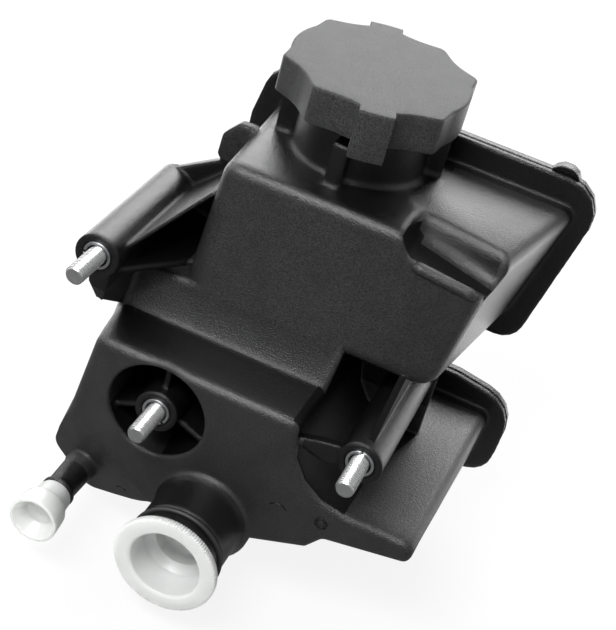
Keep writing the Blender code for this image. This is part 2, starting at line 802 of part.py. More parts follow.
def neck_trim():
    """The stop bar before the neck and the rib on either side of it."""
    low = TOP_Z - 0.001
    inner = NECK_RADIUS - 0.001
    bar = [
        (STOP_BAR_LEFT_X, STOP_BAR_FRONT_Y),
        (STOP_BAR_RIGHT_X, STOP_BAR_FRONT_Y),
        (STOP_BAR_RIGHT_X, NECK_Y - inner),
        (STOP_BAR_LEFT_X, NECK_Y - inner),
    ]
    pieces = [prism("stop_bar", bar, "Z", low, NECK_RIB_TOP_Z)]
    for angle in NECK_RIB_ANGLES:
        turn = math.radians(angle)
        along = (math.cos(turn), math.sin(turn))
        across = (-along[1] * 0.0009, along[0] * 0.0009)
        outline = [
            (NECK_X + r * along[0] + side * across[0], NECK_Y + r * along[1] + side * across[1])
            for r, side in ((inner, -1), (NECK_RIB_REACH, -1), (NECK_RIB_REACH, 1), (inner, 1))
        ]
        pieces.append(prism("neck_rib", outline, "Z", low, NECK_RIB_TOP_Z))
    return pieces


def front_shell(plastic):
    """The front moulding: both chambers, neck, bosses, tunnel, pipes and flange."""
    shell = outer_body()
    inside = cavities()
    tube, bores, ribs = tunnel_shapes()
    well = outlet_body()
    cut(inside, tube, outlet_body())
    add(shell, well)
    cut(shell, inside)
    cut(shell, *bores)
    add(shell, *ribs)
    add(shell, *left_webs(), *right_webs())
    for name, place in (("left", LEFT_BOSS), ("middle", MIDDLE_BOSS), ("right", RIGHT_BOSS)):
        add(shell, boss(name + "_boss", place))
        cut(shell, boss_bore(name + "_bore", place))
    add(shell, return_nozzle())
    cut(shell, *outlet_bores())
    return_centre = (RETURN_X, 0.0, RETURN_Z)
    cut(shell, rod("return_bore", RETURN_BORE, RETURN_TIP_Y - 0.001, 0.0135, return_centre, steps=16))
    add(shell, neck_body(), *neck_trim())
    neck_centre = (NECK_X, NECK_Y, 0.0)
    cut(shell, rod("neck_bore", NECK_BORE, TOP_Z - 0.006, NECK_RIM_Z + 0.001, neck_centre, "Z", FINE_STEPS))
    return finish(shell, plastic)


def rear_corners():
    """Outline of both chambers together at the seam."""
    lower = lower_stations()[-1][1]
    upper = upper_stations()[-1][1]
    notch_x = lower[9][0]
    return [
        *[(x, z, 0.008) for x, z, _ in lower[:8]],
        (lower[8][0], POCKET_FLOOR_Z, 0.006),
        (notch_x, POCKET_FLOOR_Z, 0.010),
        (notch_x, UPPER_FLOOR_Z, 0.010),
        (upper[1][0], UPPER_FLOOR_Z, 0.008),
        (upper[2][0], TOP_Z, 0.009),
        (upper[3][0], TOP_Z, 0.007),
        (upper[0][0] - 0.0005, lower[11][1], 0.006),
        (lower[11][0], lower[11][1], 0.008),
    ]


def dish(name, inset, low, back, rounding):
    """A shallow closed dish that narrows towards a rounded back."""
    rings = []
    levels = [(low, 0.0), (back - rounding, REAR_DRAFT)]
    for step in range(1, EDGE_STEPS + 1):
        turn = math.pi / 2 * step / EDGE_STEPS
        depth = back - rounding * (1 - math.sin(turn))
        levels.append((depth, REAR_DRAFT + rounding * (1 - math.cos(turn))))
    for y, narrowing in levels:
        rings.append([(a, y, b) for a, b in rounded(rear_corners(), inset + narrowing)])
    return loft(name, rings)


def flange_lug():
    """The small locating lug at the top right of the rear flange."""
    edge = TOP_Z + FLANGE_LIP
    outline = [
        (0.0796, edge - 0.002),
        (0.0908, edge - 0.002),
        (0.0893, edge + 0.0008),
        (0.0870, edge + 0.0021),
        (0.0838, edge + 0.0021),
        (0.0815, edge + 0.0006),
    ]
    return prism("flange_lug", outline, "Y", REAR_FLANGE_Y, REAR_WALL_Y + 0.0016)


def rear_shell(plastic):
    """The shallow rear moulding, with the tunnel's end open in its middle."""
    shell = seam_flange("rear_shell", REAR_FLANGE_Y)
    add(shell, flange_lug())
    add(shell, dish("rear_dish", 0.0, REAR_FLANGE_Y + 0.001, BACK_Y, 0.0045))
    inside = dish("rear_inside", REAR_WALL, REAR_FLANGE_Y - 0.001, BACK_Y - REAR_WALL, 0.0025)
    centre = (MIDDLE_BOSS[0], 0.0, MIDDLE_BOSS[1])
    start = TUNNEL_REAR_RADIUS + 0.001
    tube = rod("rear_tube", start + TUNNEL_WALL, REAR_FLANGE_Y - 0.002, BACK_Y + 0.001, centre, steps=FINE_STEPS)
    cut(shell, cut(inside, tube))
    bore = rod("rear_bore", start, REAR_FLANGE_Y - 0.003, BACK_Y + 0.002, centre, steps=FINE_STEPS, high_radius=start + 0.001)
    cut(shell, bore)
    return finish(shell, plastic)


def cap_crest(turn):
    """The crests lie lower on the sides than beside the tabs, so the grip is slightly oval."""
    return CAP_CREST - CAP_CREST_FALL * math.sin(math.radians(turn)) ** 2


def cap_outline(inset):
    """The cap's rim, moved in by inset: ten flutes between crests, and two raised tabs."""
    count = CAP_LOBES * CAP_LOBE_POINTS
    turns = [360 * i / count for i in range(count)]
    places = []
    for turn in turns:
        if min(turn % 180, 180 - turn % 180) > CAP_TAB_HALF + 0.5:
            flute = abs(math.sin(math.radians(turn) * CAP_LOBES / 2)) ** 1.3
            places.append((turn, cap_crest(turn) - CAP_SCALLOP * flute))
    for middle in (0, 180):
        flute = abs(math.sin(math.radians(CAP_TAB_HALF * CAP_LOBES / 2))) ** 1.3
        edge = cap_crest(CAP_TAB_HALF) - CAP_SCALLOP * flute
        places.append(((middle - CAP_TAB_HALF - 0.3) % 360, edge))
        places += [((middle + side * CAP_TAB_HALF) % 360, CAP_TAB_RADIUS) for side in (-1, 0, 1)]
        places.append((middle + CAP_TAB_HALF + 0.3, edge))
    points = []
    for turn, radius in sorted(places):
        t = math.radians(turn + CAP_TAB_ANGLE)
        points.append((NECK_X + (radius - inset) * math.cos(t), NECK_Y + (radius - inset) * math.sin(t)))
    return points


def filler_cap(plastic):
    """The fluted screw cap: roof, skirt with two long tabs, threaded collar and stick socket."""
    centre = (NECK_X, NECK_Y, 0.0)
    roof_z = CAP_TOP_Z - CAP_ROOF
    low = CAP_BOTTOM_Z - CAP_TAB_DROP
    levels = [(low, 0.0), (CAP_TOP_Z - CAP_EDGE, 0.0), (CAP_TOP_Z - CAP_EDGE * 0.3, CAP_EDGE * 0.3)]
    levels.append((CAP_TOP_Z, CAP_EDGE))
    cap = loft("filler_cap", [[(x, y, z) for x, y in cap_outline(inset)] for z, inset in levels])
    for start in (CAP_TAB_ANGLE + CAP_TAB_HALF, CAP_TAB_ANGLE + 180 + CAP_TAB_HALF):
        sector = ring_sector(0.012, CAP_TAB_RADIUS + 0.002, start, start + 180 - 2 * CAP_TAB_HALF, 24)
        cut(cap, prism("skirt_cut", sector, "Z", low - 0.001, CAP_BOTTOM_Z))
    collar = NECK_RADIUS + THREAD_GAP
    skirt = CAP_CREST - CAP_CREST_FALL - CAP_SCALLOP - CAP_SKIRT_WALL
    void = [
        (collar + CAP_COLLAR_WALL, CAP_BOTTOM_Z - 0.008),
        (skirt, CAP_BOTTOM_Z - 0.008),
        (skirt, roof_z - 0.001),
        (skirt - 0.001, roof_z),
        (collar + CAP_COLLAR_WALL, roof_z),
    ]
    cut(cap, revolve("cap_void", void, centre, "Z", FINE_STEPS))
    trim = collar + CAP_COLLAR_WALL + 0.001
    cut(cap, rod("collar_trim", trim, CAP_BOTTOM_Z - 0.008, CAP_BOTTOM_Z + 0.0006, centre, "Z", FINE_STEPS))
    cut(cap, rod("collar_bore", collar, CAP_BOTTOM_Z - 0.009, roof_z, centre, "Z", FINE_STEPS))
    socket = STICK_HUB_RADIUS + FIT_GAP
    rim = roof_z - STICK_HUB_DEPTH
    add(cap, rod("socket", socket + STICK_SOCKET_WALL, rim, roof_z + 0.001, centre, "Z", 24))
    cut(cap, rod("socket_bore", socket, rim - 0.001, roof_z + 0.0002, centre, "Z", 24))
    return finish(cap, plastic)


def cap_seal(rubber):
    low = NECK_RIM_Z + FIT_GAP
    section = [(NECK_BORE, low), (NECK_RADIUS - 0.0004, low)]
    section += [(r, low + SEAL_THICKNESS) for r, _ in reversed(section)]
    return finish(revolve("cap_seal", section, (NECK_X, NECK_Y, 0.0), "Z", FINE_STEPS), rubber)


def dipstick(plastic):
    """A hub in the cap's socket and a notched blade that hangs into the fluid."""
    top = CAP_TOP_Z - CAP_ROOF - FIT_GAP
    centre = (NECK_X, NECK_Y, 0.0)
    stick = rod("dipstick", STICK_HUB_RADIUS, top - STICK_HUB_DEPTH - 0.003, top, centre, "Z", 24)
    half = STICK_WIDTH / 2
    low = top - STICK_LENGTH
    outline = [(-half, top - STICK_HUB_DEPTH), (-half, low + 0.003), (-half + 0.0015, low)]
    outline += [(half - 0.0015, low), (half, low + 0.003)]
    for notch in range(STICK_NOTCHES):
        z = low + 0.010 + 0.012 * notch
        outline += [(half, z - STICK_NOTCH), (half - STICK_NOTCH, z), (half, z + STICK_NOTCH)]
    outline.append((half, top - STICK_HUB_DEPTH))
    blade = [(NECK_X + x, z) for x, z in outline]
    thick = STICK_THICKNESS / 2
    add(stick, prism("blade", blade, "Y", NECK_Y - thick, NECK_Y + thick))
    return finish(stick, plastic)


def sleeve(name, place, slit_turn, steel):
    """A rolled steel sleeve, open along one side."""
    half = math.asin(SLEEVE_SLIT / 2 / SLEEVE_RADIUS)
    steps = 28
    inner = SLEEVE_RADIUS - SLEEVE_WALL
    start = math.radians(slit_turn)
    turns = [start + half + (2 * math.pi - 2 * half) * i / steps for i in range(steps + 1)]
    outline = [(place[0] + SLEEVE_RADIUS * math.cos(t), place[1] + SLEEVE_RADIUS * math.sin(t)) for t in turns]
    outline += [(place[0] + inner * math.cos(t), place[1] + inner * math.sin(t)) for t in reversed(turns)]
    return finish(prism(name, outline, "Y", -SLEEVE_PROUD, BOSS_LENGTH), steel)


def bolt(name, place, steel):
    """A flanged hexagon bolt, entered from the rear of its boss."""
    centre = (place[0], 0.0, place[1])
    flange_y = BOSS_LENGTH + BOLT_GAP
    head_y = flange_y + BOLT_FLANGE_THICKNESS
    profile = [
        (0, -BOLT_REACH),
        (BOLT_RADIUS - BOLT_TIP * 0.7, -BOLT_REACH),
        (BOLT_RADIUS, -BOLT_REACH + BOLT_TIP),
        (BOLT_RADIUS, flange_y),
        (BOLT_FLANGE_RADIUS, flange_y),
        (BOLT_FLANGE_RADIUS, flange_y + 0.0006),
        (BOLT_HEAD_RADIUS - 0.0008, head_y + 0.0004),
        (0, head_y + 0.0004),
    ]
    made = revolve(name, profile, centre, "Y", 24)
    corners = [math.radians(60 * i + 30) for i in range(6)]
    outline = [
        (place[0] + BOLT_HEAD_RADIUS * math.cos(t), place[1] + BOLT_HEAD_RADIUS * math.sin(t))
        for t in corners
    ]
    head = prism("head", outline, "Y", head_y - 0.0002, head_y + BOLT_HEAD_HEIGHT)
    add(made, head)
    made.data.transform(mathutils.Matrix.Translation((-place[0], 0.0, -place[1])))
    made.location = (place[0], 0.0, place[1])
    return finish(made, steel)


def outlet_plug(plastic):
    """The plug: a stepped cup in the outlet's socket with a finely toothed flange before it."""
    centre = (OUTLET_X, 0.0, OUTLET_Z)
    face = -OUTLET_REACH - FIT_GAP
    front = face - PLUG_FLANGE_THICKNESS
    outline = []
    for i in range(2 * PLUG_TEETH):
        radius = PLUG_FLANGE_RADIUS - (PLUG_TOOTH if i % 2 else 0.0)
        turn = math.pi * i / PLUG_TEETH
        outline.append((OUTLET_X + radius * math.cos(turn), OUTLET_Z + radius * math.sin(turn)))
    plug = prism("outlet_plug", outline, "Y", front, face)
    body = OUTLET_BORE - FIT_GAP
    step_y = face + PLUG_STEP_DEPTH
    end_y = face + PLUG_BODY_DEPTH
    profile = [
        (0, face - 0.001),
        (body, face - 0.001),
        (body, step_y),
        (PLUG_STEP_RADIUS + PLUG_WALL, step_y + 0.0022),
        (PLUG_STEP_RADIUS + PLUG_WALL, end_y - 0.001),
        (PLUG_STEP_RADIUS + PLUG_WALL - 0.001, end_y),
        (0, end_y),
    ]
    add(plug, revolve("plug_body", profile, centre, "Y", FINE_STEPS))
    hollow = [
        (0, front - 0.001),
        (body - PLUG_WALL + 0.0012, front - 0.001),
        (body - PLUG_WALL, front + 0.0004),
        (body - PLUG_WALL, step_y - PLUG_WALL / 2),
        (PLUG_STEP_RADIUS, step_y + 0.0022 - PLUG_WALL / 2),
        (PLUG_STEP_RADIUS, end_y - PLUG_WALL),
        (0, end_y - PLUG_WALL),
    ]
    cut(plug, revolve("plug_hollow", hollow, centre, "Y", FINE_STEPS))
    return finish(plug, plastic)


def return_cap(plastic):
    """The flared cap: a socket for the nozzle's tip behind, a floor, and an open cup before it."""
    centre = (RETURN_X, 0.0, RETURN_Z)
    start = RETURN_BEAD_Y - RETURN_BEAD_WIDTH - FIT_GAP
    floor = RETURN_TIP_Y - FIT_GAP
    profile = [
        (0, RETURN_CAP_MOUTH_Y),
        (RETURN_CAP_WIDE - 0.0004, RETURN_CAP_MOUTH_Y),
        (RETURN_CAP_WIDE, RETURN_CAP_MOUTH_Y + 0.0006),
        (RETURN_CAP_NARROW + 0.0002, start - 0.0006),
        (RETURN_CAP_NARROW - 0.0002, start),
        (0, start),
    ]
    cap = revolve("return_cap", profile, centre, "Y", ROUND_STEPS)
    tip = RETURN_TIP_RADIUS + 0.0002
    cut(cap, rod("tip_socket", tip, floor, start + 0.001, centre))
    inner_floor = floor - RETURN_CAP_FLOOR
    slope = (RETURN_CAP_WIDE - RETURN_CAP_NARROW) / (start - RETURN_CAP_MOUTH_Y)
    floor_radius = RETURN_CAP_NARROW + slope * (start - inner_floor) - RETURN_CAP_WALL
    mouth_radius = RETURN_CAP_WIDE - RETURN_CAP_WALL + slope * 0.001
    cut(cap, rod("cup", mouth_radius, RETURN_CAP_MOUTH_Y - 0.001, inner_floor, centre, high_radius=floor_radius))
    return finish(cap, plastic)


def outlet_o_ring(rubber):
    """A ring of round section, slightly flattened, in the outlet's groove."""
    middle = OUTLET_RADIUS - O_RING_SECTION + 0.0002 + O_RING_SECTION * 0.7
    groove = -OUTLET_REACH + O_RING_SETBACK
    section = []
    for i in range(8):
        turn = 2 * math.pi * (i + 0.5) / 8
        section.append((middle + 0.0009 * math.cos(turn), groove + 0.0009 * math.sin(turn)))
    centre = (OUTLET_X, 0.0, OUTLET_Z)
    return finish(revolve("outlet_o_ring", section, centre, "Y", ROUND_STEPS), rubber)


def strainer(plastic, steel):
    """The basket in the outlet well: a flanged cage and the mesh tube inside it."""
    centre = (OUTLET_X, 0.0, OUTLET_Z)
    step_y = -OUTLET_REACH + OUTLET_SOCKET_DEPTH
    flange_y = step_y - FIT_GAP
    outer = OUTLET_INNER_BORE - FIT_GAP
    end_y = flange_y + STRAINER_LENGTH
    ring = [
        (STRAINER_RING, flange_y - STRAINER_FLANGE),
        (OUTLET_BORE - FIT_GAP, flange_y - STRAINER_FLANGE),
        (OUTLET_BORE - FIT_GAP, flange_y),
        (outer, flange_y),
        (outer, flange_y + 0.003),
        (STRAINER_RING, flange_y + 0.003),
    ]
    frame = revolve("strainer_frame", ring, centre, "Y", ROUND_STEPS)
    for i in range(STRAINER_BARS):
        turn = 2 * math.pi * (i + 0.5) / STRAINER_BARS
        along = (math.cos(turn), math.sin(turn))
        across = (-along[1] * STRAINER_BAR_WIDTH / 2, along[0] * STRAINER_BAR_WIDTH / 2)
        outline = [
            (OUTLET_X + r * along[0] + side * across[0], OUTLET_Z + r * along[1] + side * across[1])
            for r, side in ((STRAINER_RING, -1), (outer - 0.0003, -1), (outer - 0.0003, 1), (STRAINER_RING, 1))
        ]
        add(frame, prism("bar", outline, "Y", flange_y + 0.002, end_y - 0.001))
    add(frame, rod("end_disc", outer, end_y - 0.0016, end_y, centre))
    inner = STRAINER_RING - FIT_GAP
    tube = [
        (inner - MESH_WALL, flange_y - STRAINER_FLANGE + 0.0005),
        (inner, flange_y - STRAINER_FLANGE + 0.0005),
        (inner, end_y - 0.0019),
        (inner - MESH_WALL, end_y - 0.0019),
    ]
    mesh = revolve("strainer_mesh", tube, centre, "Y", ROUND_STEPS)
    return finish(frame, plastic), finish(mesh, steel)


def baffle_plate(plastic):
    """The pierced plate that lies over the throat between the chambers."""
    low = UPPER_FLOOR_Z + WALL + FIT_GAP
    front = THROAT_FRONT_Y + 0.0015
    corners = [
        (BAFFLE_LEFT_X, front, 0.003),
        (BAFFLE_RIGHT_X, front, 0.003),
        (BAFFLE_RIGHT_X, FLANGE_Y - 0.001, 0.003),
        (BAFFLE_LEFT_X, FLANGE_Y - 0.001, 0.003),
    ]
    plate = prism("baffle_plate", rounded(corners), "Z", low, low + BAFFLE_THICKNESS)
    for row in range(4):
        for column in range(4):
            x = THROAT_LEFT_X + 0.0045 + 0.0108 * column
            y = front + 0.008 + 0.0108 * row
            centre = (x, y, 0.0)
            cut(plate, rod("hole", BAFFLE_HOLE_RADIUS, low - 0.001, low + 0.004, centre, "Z", 12))
    return finish(plate, plastic)


def main():
    clear_scene()
    black = material("black_plastic", (0.018, 0.018, 0.019), 0.42)
    grey = material("cap_grey_plastic", (0.075, 0.078, 0.082), 0.5)
    white = material("white_polyethylene", (0.72, 0.72, 0.70), 0.4)
    rubber = material("black_rubber", (0.012, 0.012, 0.012), 0.7)
    zinc = material("zinc_plated_steel", (0.55, 0.56, 0.57), 0.32, 1.0)
    nylon = material("natural_nylon", (0.62, 0.58, 0.46), 0.5)
    front_shell(black)
    rear_shell(black)
    filler_cap(grey)
    cap_seal(rubber)
    dipstick(black)
    names = ("left", "middle", "right")
    for name, place, turn in zip(names, (LEFT_BOSS, MIDDLE_BOSS, RIGHT_BOSS), SLEEVE_TURNS):
        sleeve("sleeve_" + name, place, turn, zinc)
        bolt("bolt_" + name, place, zinc)
    outlet_plug(white)
    return_cap(white)
    outlet_o_ring(rubber)
    strainer(nylon, zinc)
    baffle_plate(nylon)


main()
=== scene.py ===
import math

import bmesh
import bpy
from mathutils import Matrix, Vector


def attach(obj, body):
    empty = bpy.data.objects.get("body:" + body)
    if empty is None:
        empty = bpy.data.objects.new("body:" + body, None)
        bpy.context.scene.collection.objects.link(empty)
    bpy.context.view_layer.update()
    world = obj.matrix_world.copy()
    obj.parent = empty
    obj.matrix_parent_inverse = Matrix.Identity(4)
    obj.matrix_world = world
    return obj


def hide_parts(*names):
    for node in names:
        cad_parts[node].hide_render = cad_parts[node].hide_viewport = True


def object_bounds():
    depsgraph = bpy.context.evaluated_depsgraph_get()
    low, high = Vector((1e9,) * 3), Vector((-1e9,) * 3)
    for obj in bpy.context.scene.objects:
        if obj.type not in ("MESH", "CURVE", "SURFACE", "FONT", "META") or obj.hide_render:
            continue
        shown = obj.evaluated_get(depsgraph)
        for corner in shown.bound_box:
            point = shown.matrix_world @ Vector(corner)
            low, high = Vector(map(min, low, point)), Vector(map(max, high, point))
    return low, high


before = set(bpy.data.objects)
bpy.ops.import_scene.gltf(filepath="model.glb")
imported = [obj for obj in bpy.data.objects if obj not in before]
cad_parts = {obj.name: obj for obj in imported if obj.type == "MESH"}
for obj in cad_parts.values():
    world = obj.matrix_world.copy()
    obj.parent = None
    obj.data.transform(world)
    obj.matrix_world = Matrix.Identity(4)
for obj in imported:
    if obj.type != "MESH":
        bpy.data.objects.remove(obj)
cad_box = [list(corner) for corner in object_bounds()]


# Front moulding: one glass-filled nylon shell with both chambers, the neck, the three bolt
# bosses and their webs, the outlet pipe and the return nozzle. It is injection moulded, so
# every edge is soft and the skin has the fine grain of a sparked tool.
MOULDING_BLACK = (0.0560, 0.0562, 0.0566)
MOULDING_ROUGH = 0.37
MOULDING_EDGE = 0.0012
# Polished zones: glossier where the tool was polished, with a far darker colour that is
# painted shade, above all in the pocket, tunnel, shelf under the upper chamber and round the neck.
POLISHED_AND_SHADE_BLACK = (0.0040, 0.0040, 0.0042)
POLISHED_ROUGH = 0.24
POLISHED_AND_SHADE_REGIONS = (
    ((0.020, 0.098, 0.000), (0.120, 0.020, 0.120)),  # flange
    ((0.000, -0.020, -0.030), (0.080, 0.0192, 0.050)),  # outlet pipe and return nozzle
    ((0.020, 0.060, 0.0905), (0.033, 0.060, 0.0160)),  # neck and the top round it
    ((0.000, 0.045, 0.000), (0.0157, 0.0440, 0.0157)),  # tunnel
    ((0.000, 0.030, 0.000), (0.0075, 0.0320, 0.0075)),  # middle boss
    ((-0.0275, 0.040, 0.0475), (0.0180, 0.0420, 0.0140)),  # left boss and its web
    ((0.0646, 0.040, 0.0136), (0.0078, 0.0420, 0.0078)),  # right boss
    ((0.0650, 0.045, 0.0160), (0.0190, 0.0440, 0.0115)),  # pocket round the right boss
    ((0.0080, 0.0098, 0.0190), (0.0415, 0.0085, 0.0040)),  # shelf above the lower face
    ((-0.0415, 0.045, 0.0260), (0.0085, 0.0450, 0.0090)),  # flange beside the ramp
    ((-0.0265, 0.055, 0.0300), (0.0075, 0.0280, 0.0050)),  # foot of the left web
    ((0.0655, 0.0365, 0.0675), (0.0145, 0.0080, 0.0068)),  # top step
)
# Painted shade: a dull, weakly mirroring black for the pocket's left wall and the top step.
PAINTED_SHADE_ROUGH = 0.50
PAINTED_SHADE_SHINE = 0.12
PAINTED_SHADE_REGIONS = (
    ((0.0560, 0.0460, 0.0110), (0.0140, 0.0445, 0.0185)),  # pocket's left wall
    ((0.0655, 0.0365, 0.0672), (0.0145, 0.0080, 0.0062)),  # top step
)
RIGHT_BOSS = (0.0646, 0.0136)
RIGHT_BOSS_CLEAR = 0.0085
BROAD_EDGE = 0.0032
BROAD_REGIONS = (
    ((0.008, 0.018, 0.0265), (0.040, 0.022, 0.0120)),  # ramp
    ((0.045, 0.050, 0.0720), (0.060, 0.030, 0.0100)),  # upper chamber's top
    ((0.075, 0.015, -0.0150), (0.022, 0.020, 0.0180)),  # lower right corner
)
DUST_GREY = (0.30, 0.29, 0.28, 1.0)


def merged_copy(node, name, smooth_angle=38):
    """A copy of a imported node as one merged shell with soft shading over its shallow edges."""
    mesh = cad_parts[node].data.copy()
    shell = bmesh.new()
    shell.from_mesh(mesh)
    bmesh.ops.remove_doubles(shell, verts=shell.verts, dist=0.000002)
    shell.to_mesh(mesh)
    shell.free()
    return finished_piece(name, mesh, smooth_angle)


def placed(name, data):
    """A new object in the scene."""
    made = bpy.data.objects.new(name, data)
    bpy.context.scene.collection.objects.link(made)
    return made


def finished_piece(name, mesh, smooth_angle=38):
    """An object for a mesh, smooth but for the edges sharper than the angle."""
    mesh.name = name
    if "custom_normal" in mesh.attributes:
        mesh.attributes.remove(mesh.attributes["custom_normal"])
    mesh.materials.clear()
    mesh.shade_smooth()
    mesh.set_sharp_from_angle(angle=math.radians(smooth_angle))
    return placed(name, mesh)


def dress(piece, finish, body, slot, *nodes):
    """Gives a piece its finish, the body that it moves with and the nodes that it stands for."""
    piece.data.materials.clear()
    piece.data.materials.append(finish)
    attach(piece, body)
    if nodes:
        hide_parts(*nodes)
    return piece


def new_group(name, sockets):
    """An empty shader group with its sockets: (name, direction, type, value)."""
    group = bpy.data.node_groups.new(name, "ShaderNodeTree")
    for title, direction, kind, value in sockets:
        socket = group.interface.new_socket(
            title, in_out=direction, socket_type="NodeSocket" + kind)
        if value is not None:
            socket.default_value = value
    return group, group.nodes.new("NodeGroupInput"), group.nodes.new("NodeGroupOutput")


def new_node(tree, kind, **settings):
    """A shader node with its settings."""
    node = tree.nodes.new("ShaderNode" + kind)
    for key, value in settings.items():
        setattr(node, key, value)
    return node


def feed(tree, target, value):
    """Links a socket to an input, or sets a plain value on it."""
    if isinstance(value, bpy.types.NodeSocket):
        tree.links.new(value, target)
    else:
        target.default_value = value


def noise(tree, where, scale, detail, roughness=0.55):
    """Noise at a place, with a scale that may be a socket."""
    made = new_node(tree, "TexNoise")
    tree.links.new(where, made.inputs["Vector"])
    for title, value in (("Scale", scale), ("Detail", detail), ("Roughness", roughness)):
        feed(tree, made.inputs[title], value)
    return made.outputs["Fac"]


def spread(tree, value, low, high, out_low, out_high):
    """Maps a value from one range to another."""
    made = new_node(tree, "MapRange")
    tree.links.new(value, made.inputs["Value"])
    made.inputs["From Min"].default_value = low
    made.inputs["From Max"].default_value = high
    made.inputs["To Min"].default_value = out_low
    made.inputs["To Max"].default_value = out_high
    return made.outputs["Result"]


def blend(tree, share, low, high):
    """A mix of two colours, each plain or a socket."""
    made = new_node(tree, "Mix", data_type="RGBA")
    for place, value in ((0, share), (6, low), (7, high)):
        feed(tree, made.inputs[place], value)
    return made.outputs[2]


def tinted(colour, gain):
    """A colour made lighter or darker, with full alpha."""
    return (*[min(1.0, gain * part) for part in colour], 1.0)


def moulded_skin():
    """Grain, flow mottling and fine handling dust of a moulded part."""
    group, entry, leave = new_group("moulded_skin", [
        ("Normal", "INPUT", "Vector", None),
        ("Grain Scale", "INPUT", "Float", 2600.0),
        ("Grain Depth", "INPUT", "Float", 0.5),
        ("Mottle", "OUTPUT", "Float", None),
        ("Dust", "OUTPUT", "Float", None),
        ("Spark", "OUTPUT", "Float", None),
        ("Normal", "OUTPUT", "Vector", None),
    ])
    link = group.links.new
    place = new_node(group, "TexCoord").outputs["Object"]
    grain = noise(group, place, entry.outputs["Grain Scale"], 2.0)
    mottle = noise(group, place, 130.0, 4.0, 0.6)
    dust = noise(group, place, 900.0, 6.0, 0.75)
    bump = new_node(group, "Bump")
    bump.inputs["Distance"].default_value = 0.00025
    link(entry.outputs["Grain Depth"], bump.inputs["Strength"])
    link(grain, bump.inputs["Height"])
    link(entry.outputs["Normal"], bump.inputs["Normal"])
    link(bump.outputs["Normal"], leave.inputs["Normal"])
    link(spread(group, mottle, 0.3, 0.7, 0.0, 1.0), leave.inputs["Mottle"])
    link(spread(group, dust, 0.62, 0.80, 0.0, 1.0), leave.inputs["Dust"])
    link(spread(group, grain, 0.32, 0.68, 0.0, 1.0), leave.inputs["Spark"])
    return group


def box_mask():
    """1 inside a box given by its centre and half size, 0 outside."""
    group, entry, leave = new_group("box_mask", [
        ("Centre", "INPUT", "Vector", None),
        ("Half", "INPUT", "Vector", None),
        ("Mask", "OUTPUT", "Float", None),
    ])
    link = group.links.new
    away = new_node(group, "VectorMath", operation="SUBTRACT")
    far = new_node(group, "VectorMath", operation="ABSOLUTE")
    over = new_node(group, "VectorMath", operation="SUBTRACT")
    axes = new_node(group, "SeparateXYZ")
    first = new_node(group, "Math", operation="MAXIMUM")
    worst = new_node(group, "Math", operation="MAXIMUM")
    link(new_node(group, "TexCoord").outputs["Object"], away.inputs[0])
    link(entry.outputs["Centre"], away.inputs[1])
    link(away.outputs["Vector"], far.inputs[0])
    link(far.outputs["Vector"], over.inputs[0])
    link(entry.outputs["Half"], over.inputs[1])
    link(over.outputs["Vector"], axes.inputs["Vector"])
    link(axes.outputs["X"], first.inputs[0])
    link(axes.outputs["Y"], first.inputs[1])
    link(first.outputs["Value"], worst.inputs[0])
    link(axes.outputs["Z"], worst.inputs[1])
    link(spread(group, worst.outputs["Value"], -0.0004, 0.0004, 1.0, 0.0), leave.inputs["Mask"])
    return group


SKIN = moulded_skin()
BOX = box_mask()


def new_finish(name):
    """A plain Principled material with its tree and its shader."""
    made = bpy.data.materials.new(name)
    made.use_nodes = True
    return made, made.node_tree, made.node_tree.nodes["Principled BSDF"]


def uneven_gloss(tree, shader, value, low, high):
    """Roughness from low to high with a value that runs from 0 to 1."""
    tree.links.new(spread(tree, value, 0.0, 1.0, low, high), shader.inputs["Roughness"])


def grained_skin(tree, shader, edge, samples, grain_scale, grain_depth):
    """Softened edges under the moulded grain, as the shader's normal; returns the skin's node."""
    skin = new_node(tree, "Group", node_tree=SKIN)
    skin.inputs["Grain Scale"].default_value = grain_scale
    skin.inputs["Grain Depth"].default_value = grain_depth
    soft = new_node(tree, "Bevel", samples=samples)
    soft.inputs["Radius"].default_value = edge
    tree.links.new(soft.outputs["Normal"], skin.inputs["Normal"])
    tree.links.new(skin.outputs["Normal"], shader.inputs["Normal"])
    return skin


def moulded_plastic(name, colour, roughness, edge, grain=(2100.0, 0.75), dusty=0.012):
    """A moulded plastic: softened edges, grain, and slightly uneven gloss and colour."""
    made, tree, shader = new_finish(name)
    skin = grained_skin(tree, shader, edge, 6, *grain)
    cloudy = blend(tree, skin.outputs["Mottle"], tinted(colour, 0.8), tinted(colour, 1.2))
    tint = blend(tree, skin.outputs["Spark"], tinted(colour, 0.25), cloudy)
    share = spread(tree, skin.outputs["Dust"], 0.0, 1.0, 0.0, dusty)
    tree.links.new(blend(tree, share, tint, DUST_GREY), shader.inputs["Base Color"])
    uneven_gloss(tree, shader, skin.outputs["Spark"], roughness - 0.05, roughness + 0.05)
    return made


def region_share(tree, regions):
    """1 inside any of the given boxes of (centre, half size), 0 elsewhere."""
    total = None
    for centre, half in regions:
        region = new_node(tree, "Group", node_tree=BOX)
        region.inputs["Centre"].default_value = centre
        region.inputs["Half"].default_value = half
        widest = new_node(tree, "Math", operation="MAXIMUM")
        tree.links.new(region.outputs["Mask"], widest.inputs[0])
        if total:
            tree.links.new(total, widest.inputs[1])
        total = widest.outputs["Value"]
    return total


def polished_and_shade_zones(made, regions, colour, roughness):
    """Makes a moulded plastic glossier where its tool was polished, with a far darker colour there
    that is painted shade.
    """
    tree = made.node_tree
    shader = tree.nodes["Principled BSDF"]
    share = region_share(tree, regions)
    polish_and_shade = {"Base Color": (*colour, 1.0), "Roughness": (roughness, roughness, roughness, 1.0)}
    for title, value in polish_and_shade.items():
        grained = shader.inputs[title].links[0].from_socket
        tree.links.new(blend(tree, share, grained, value), shader.inputs[title])


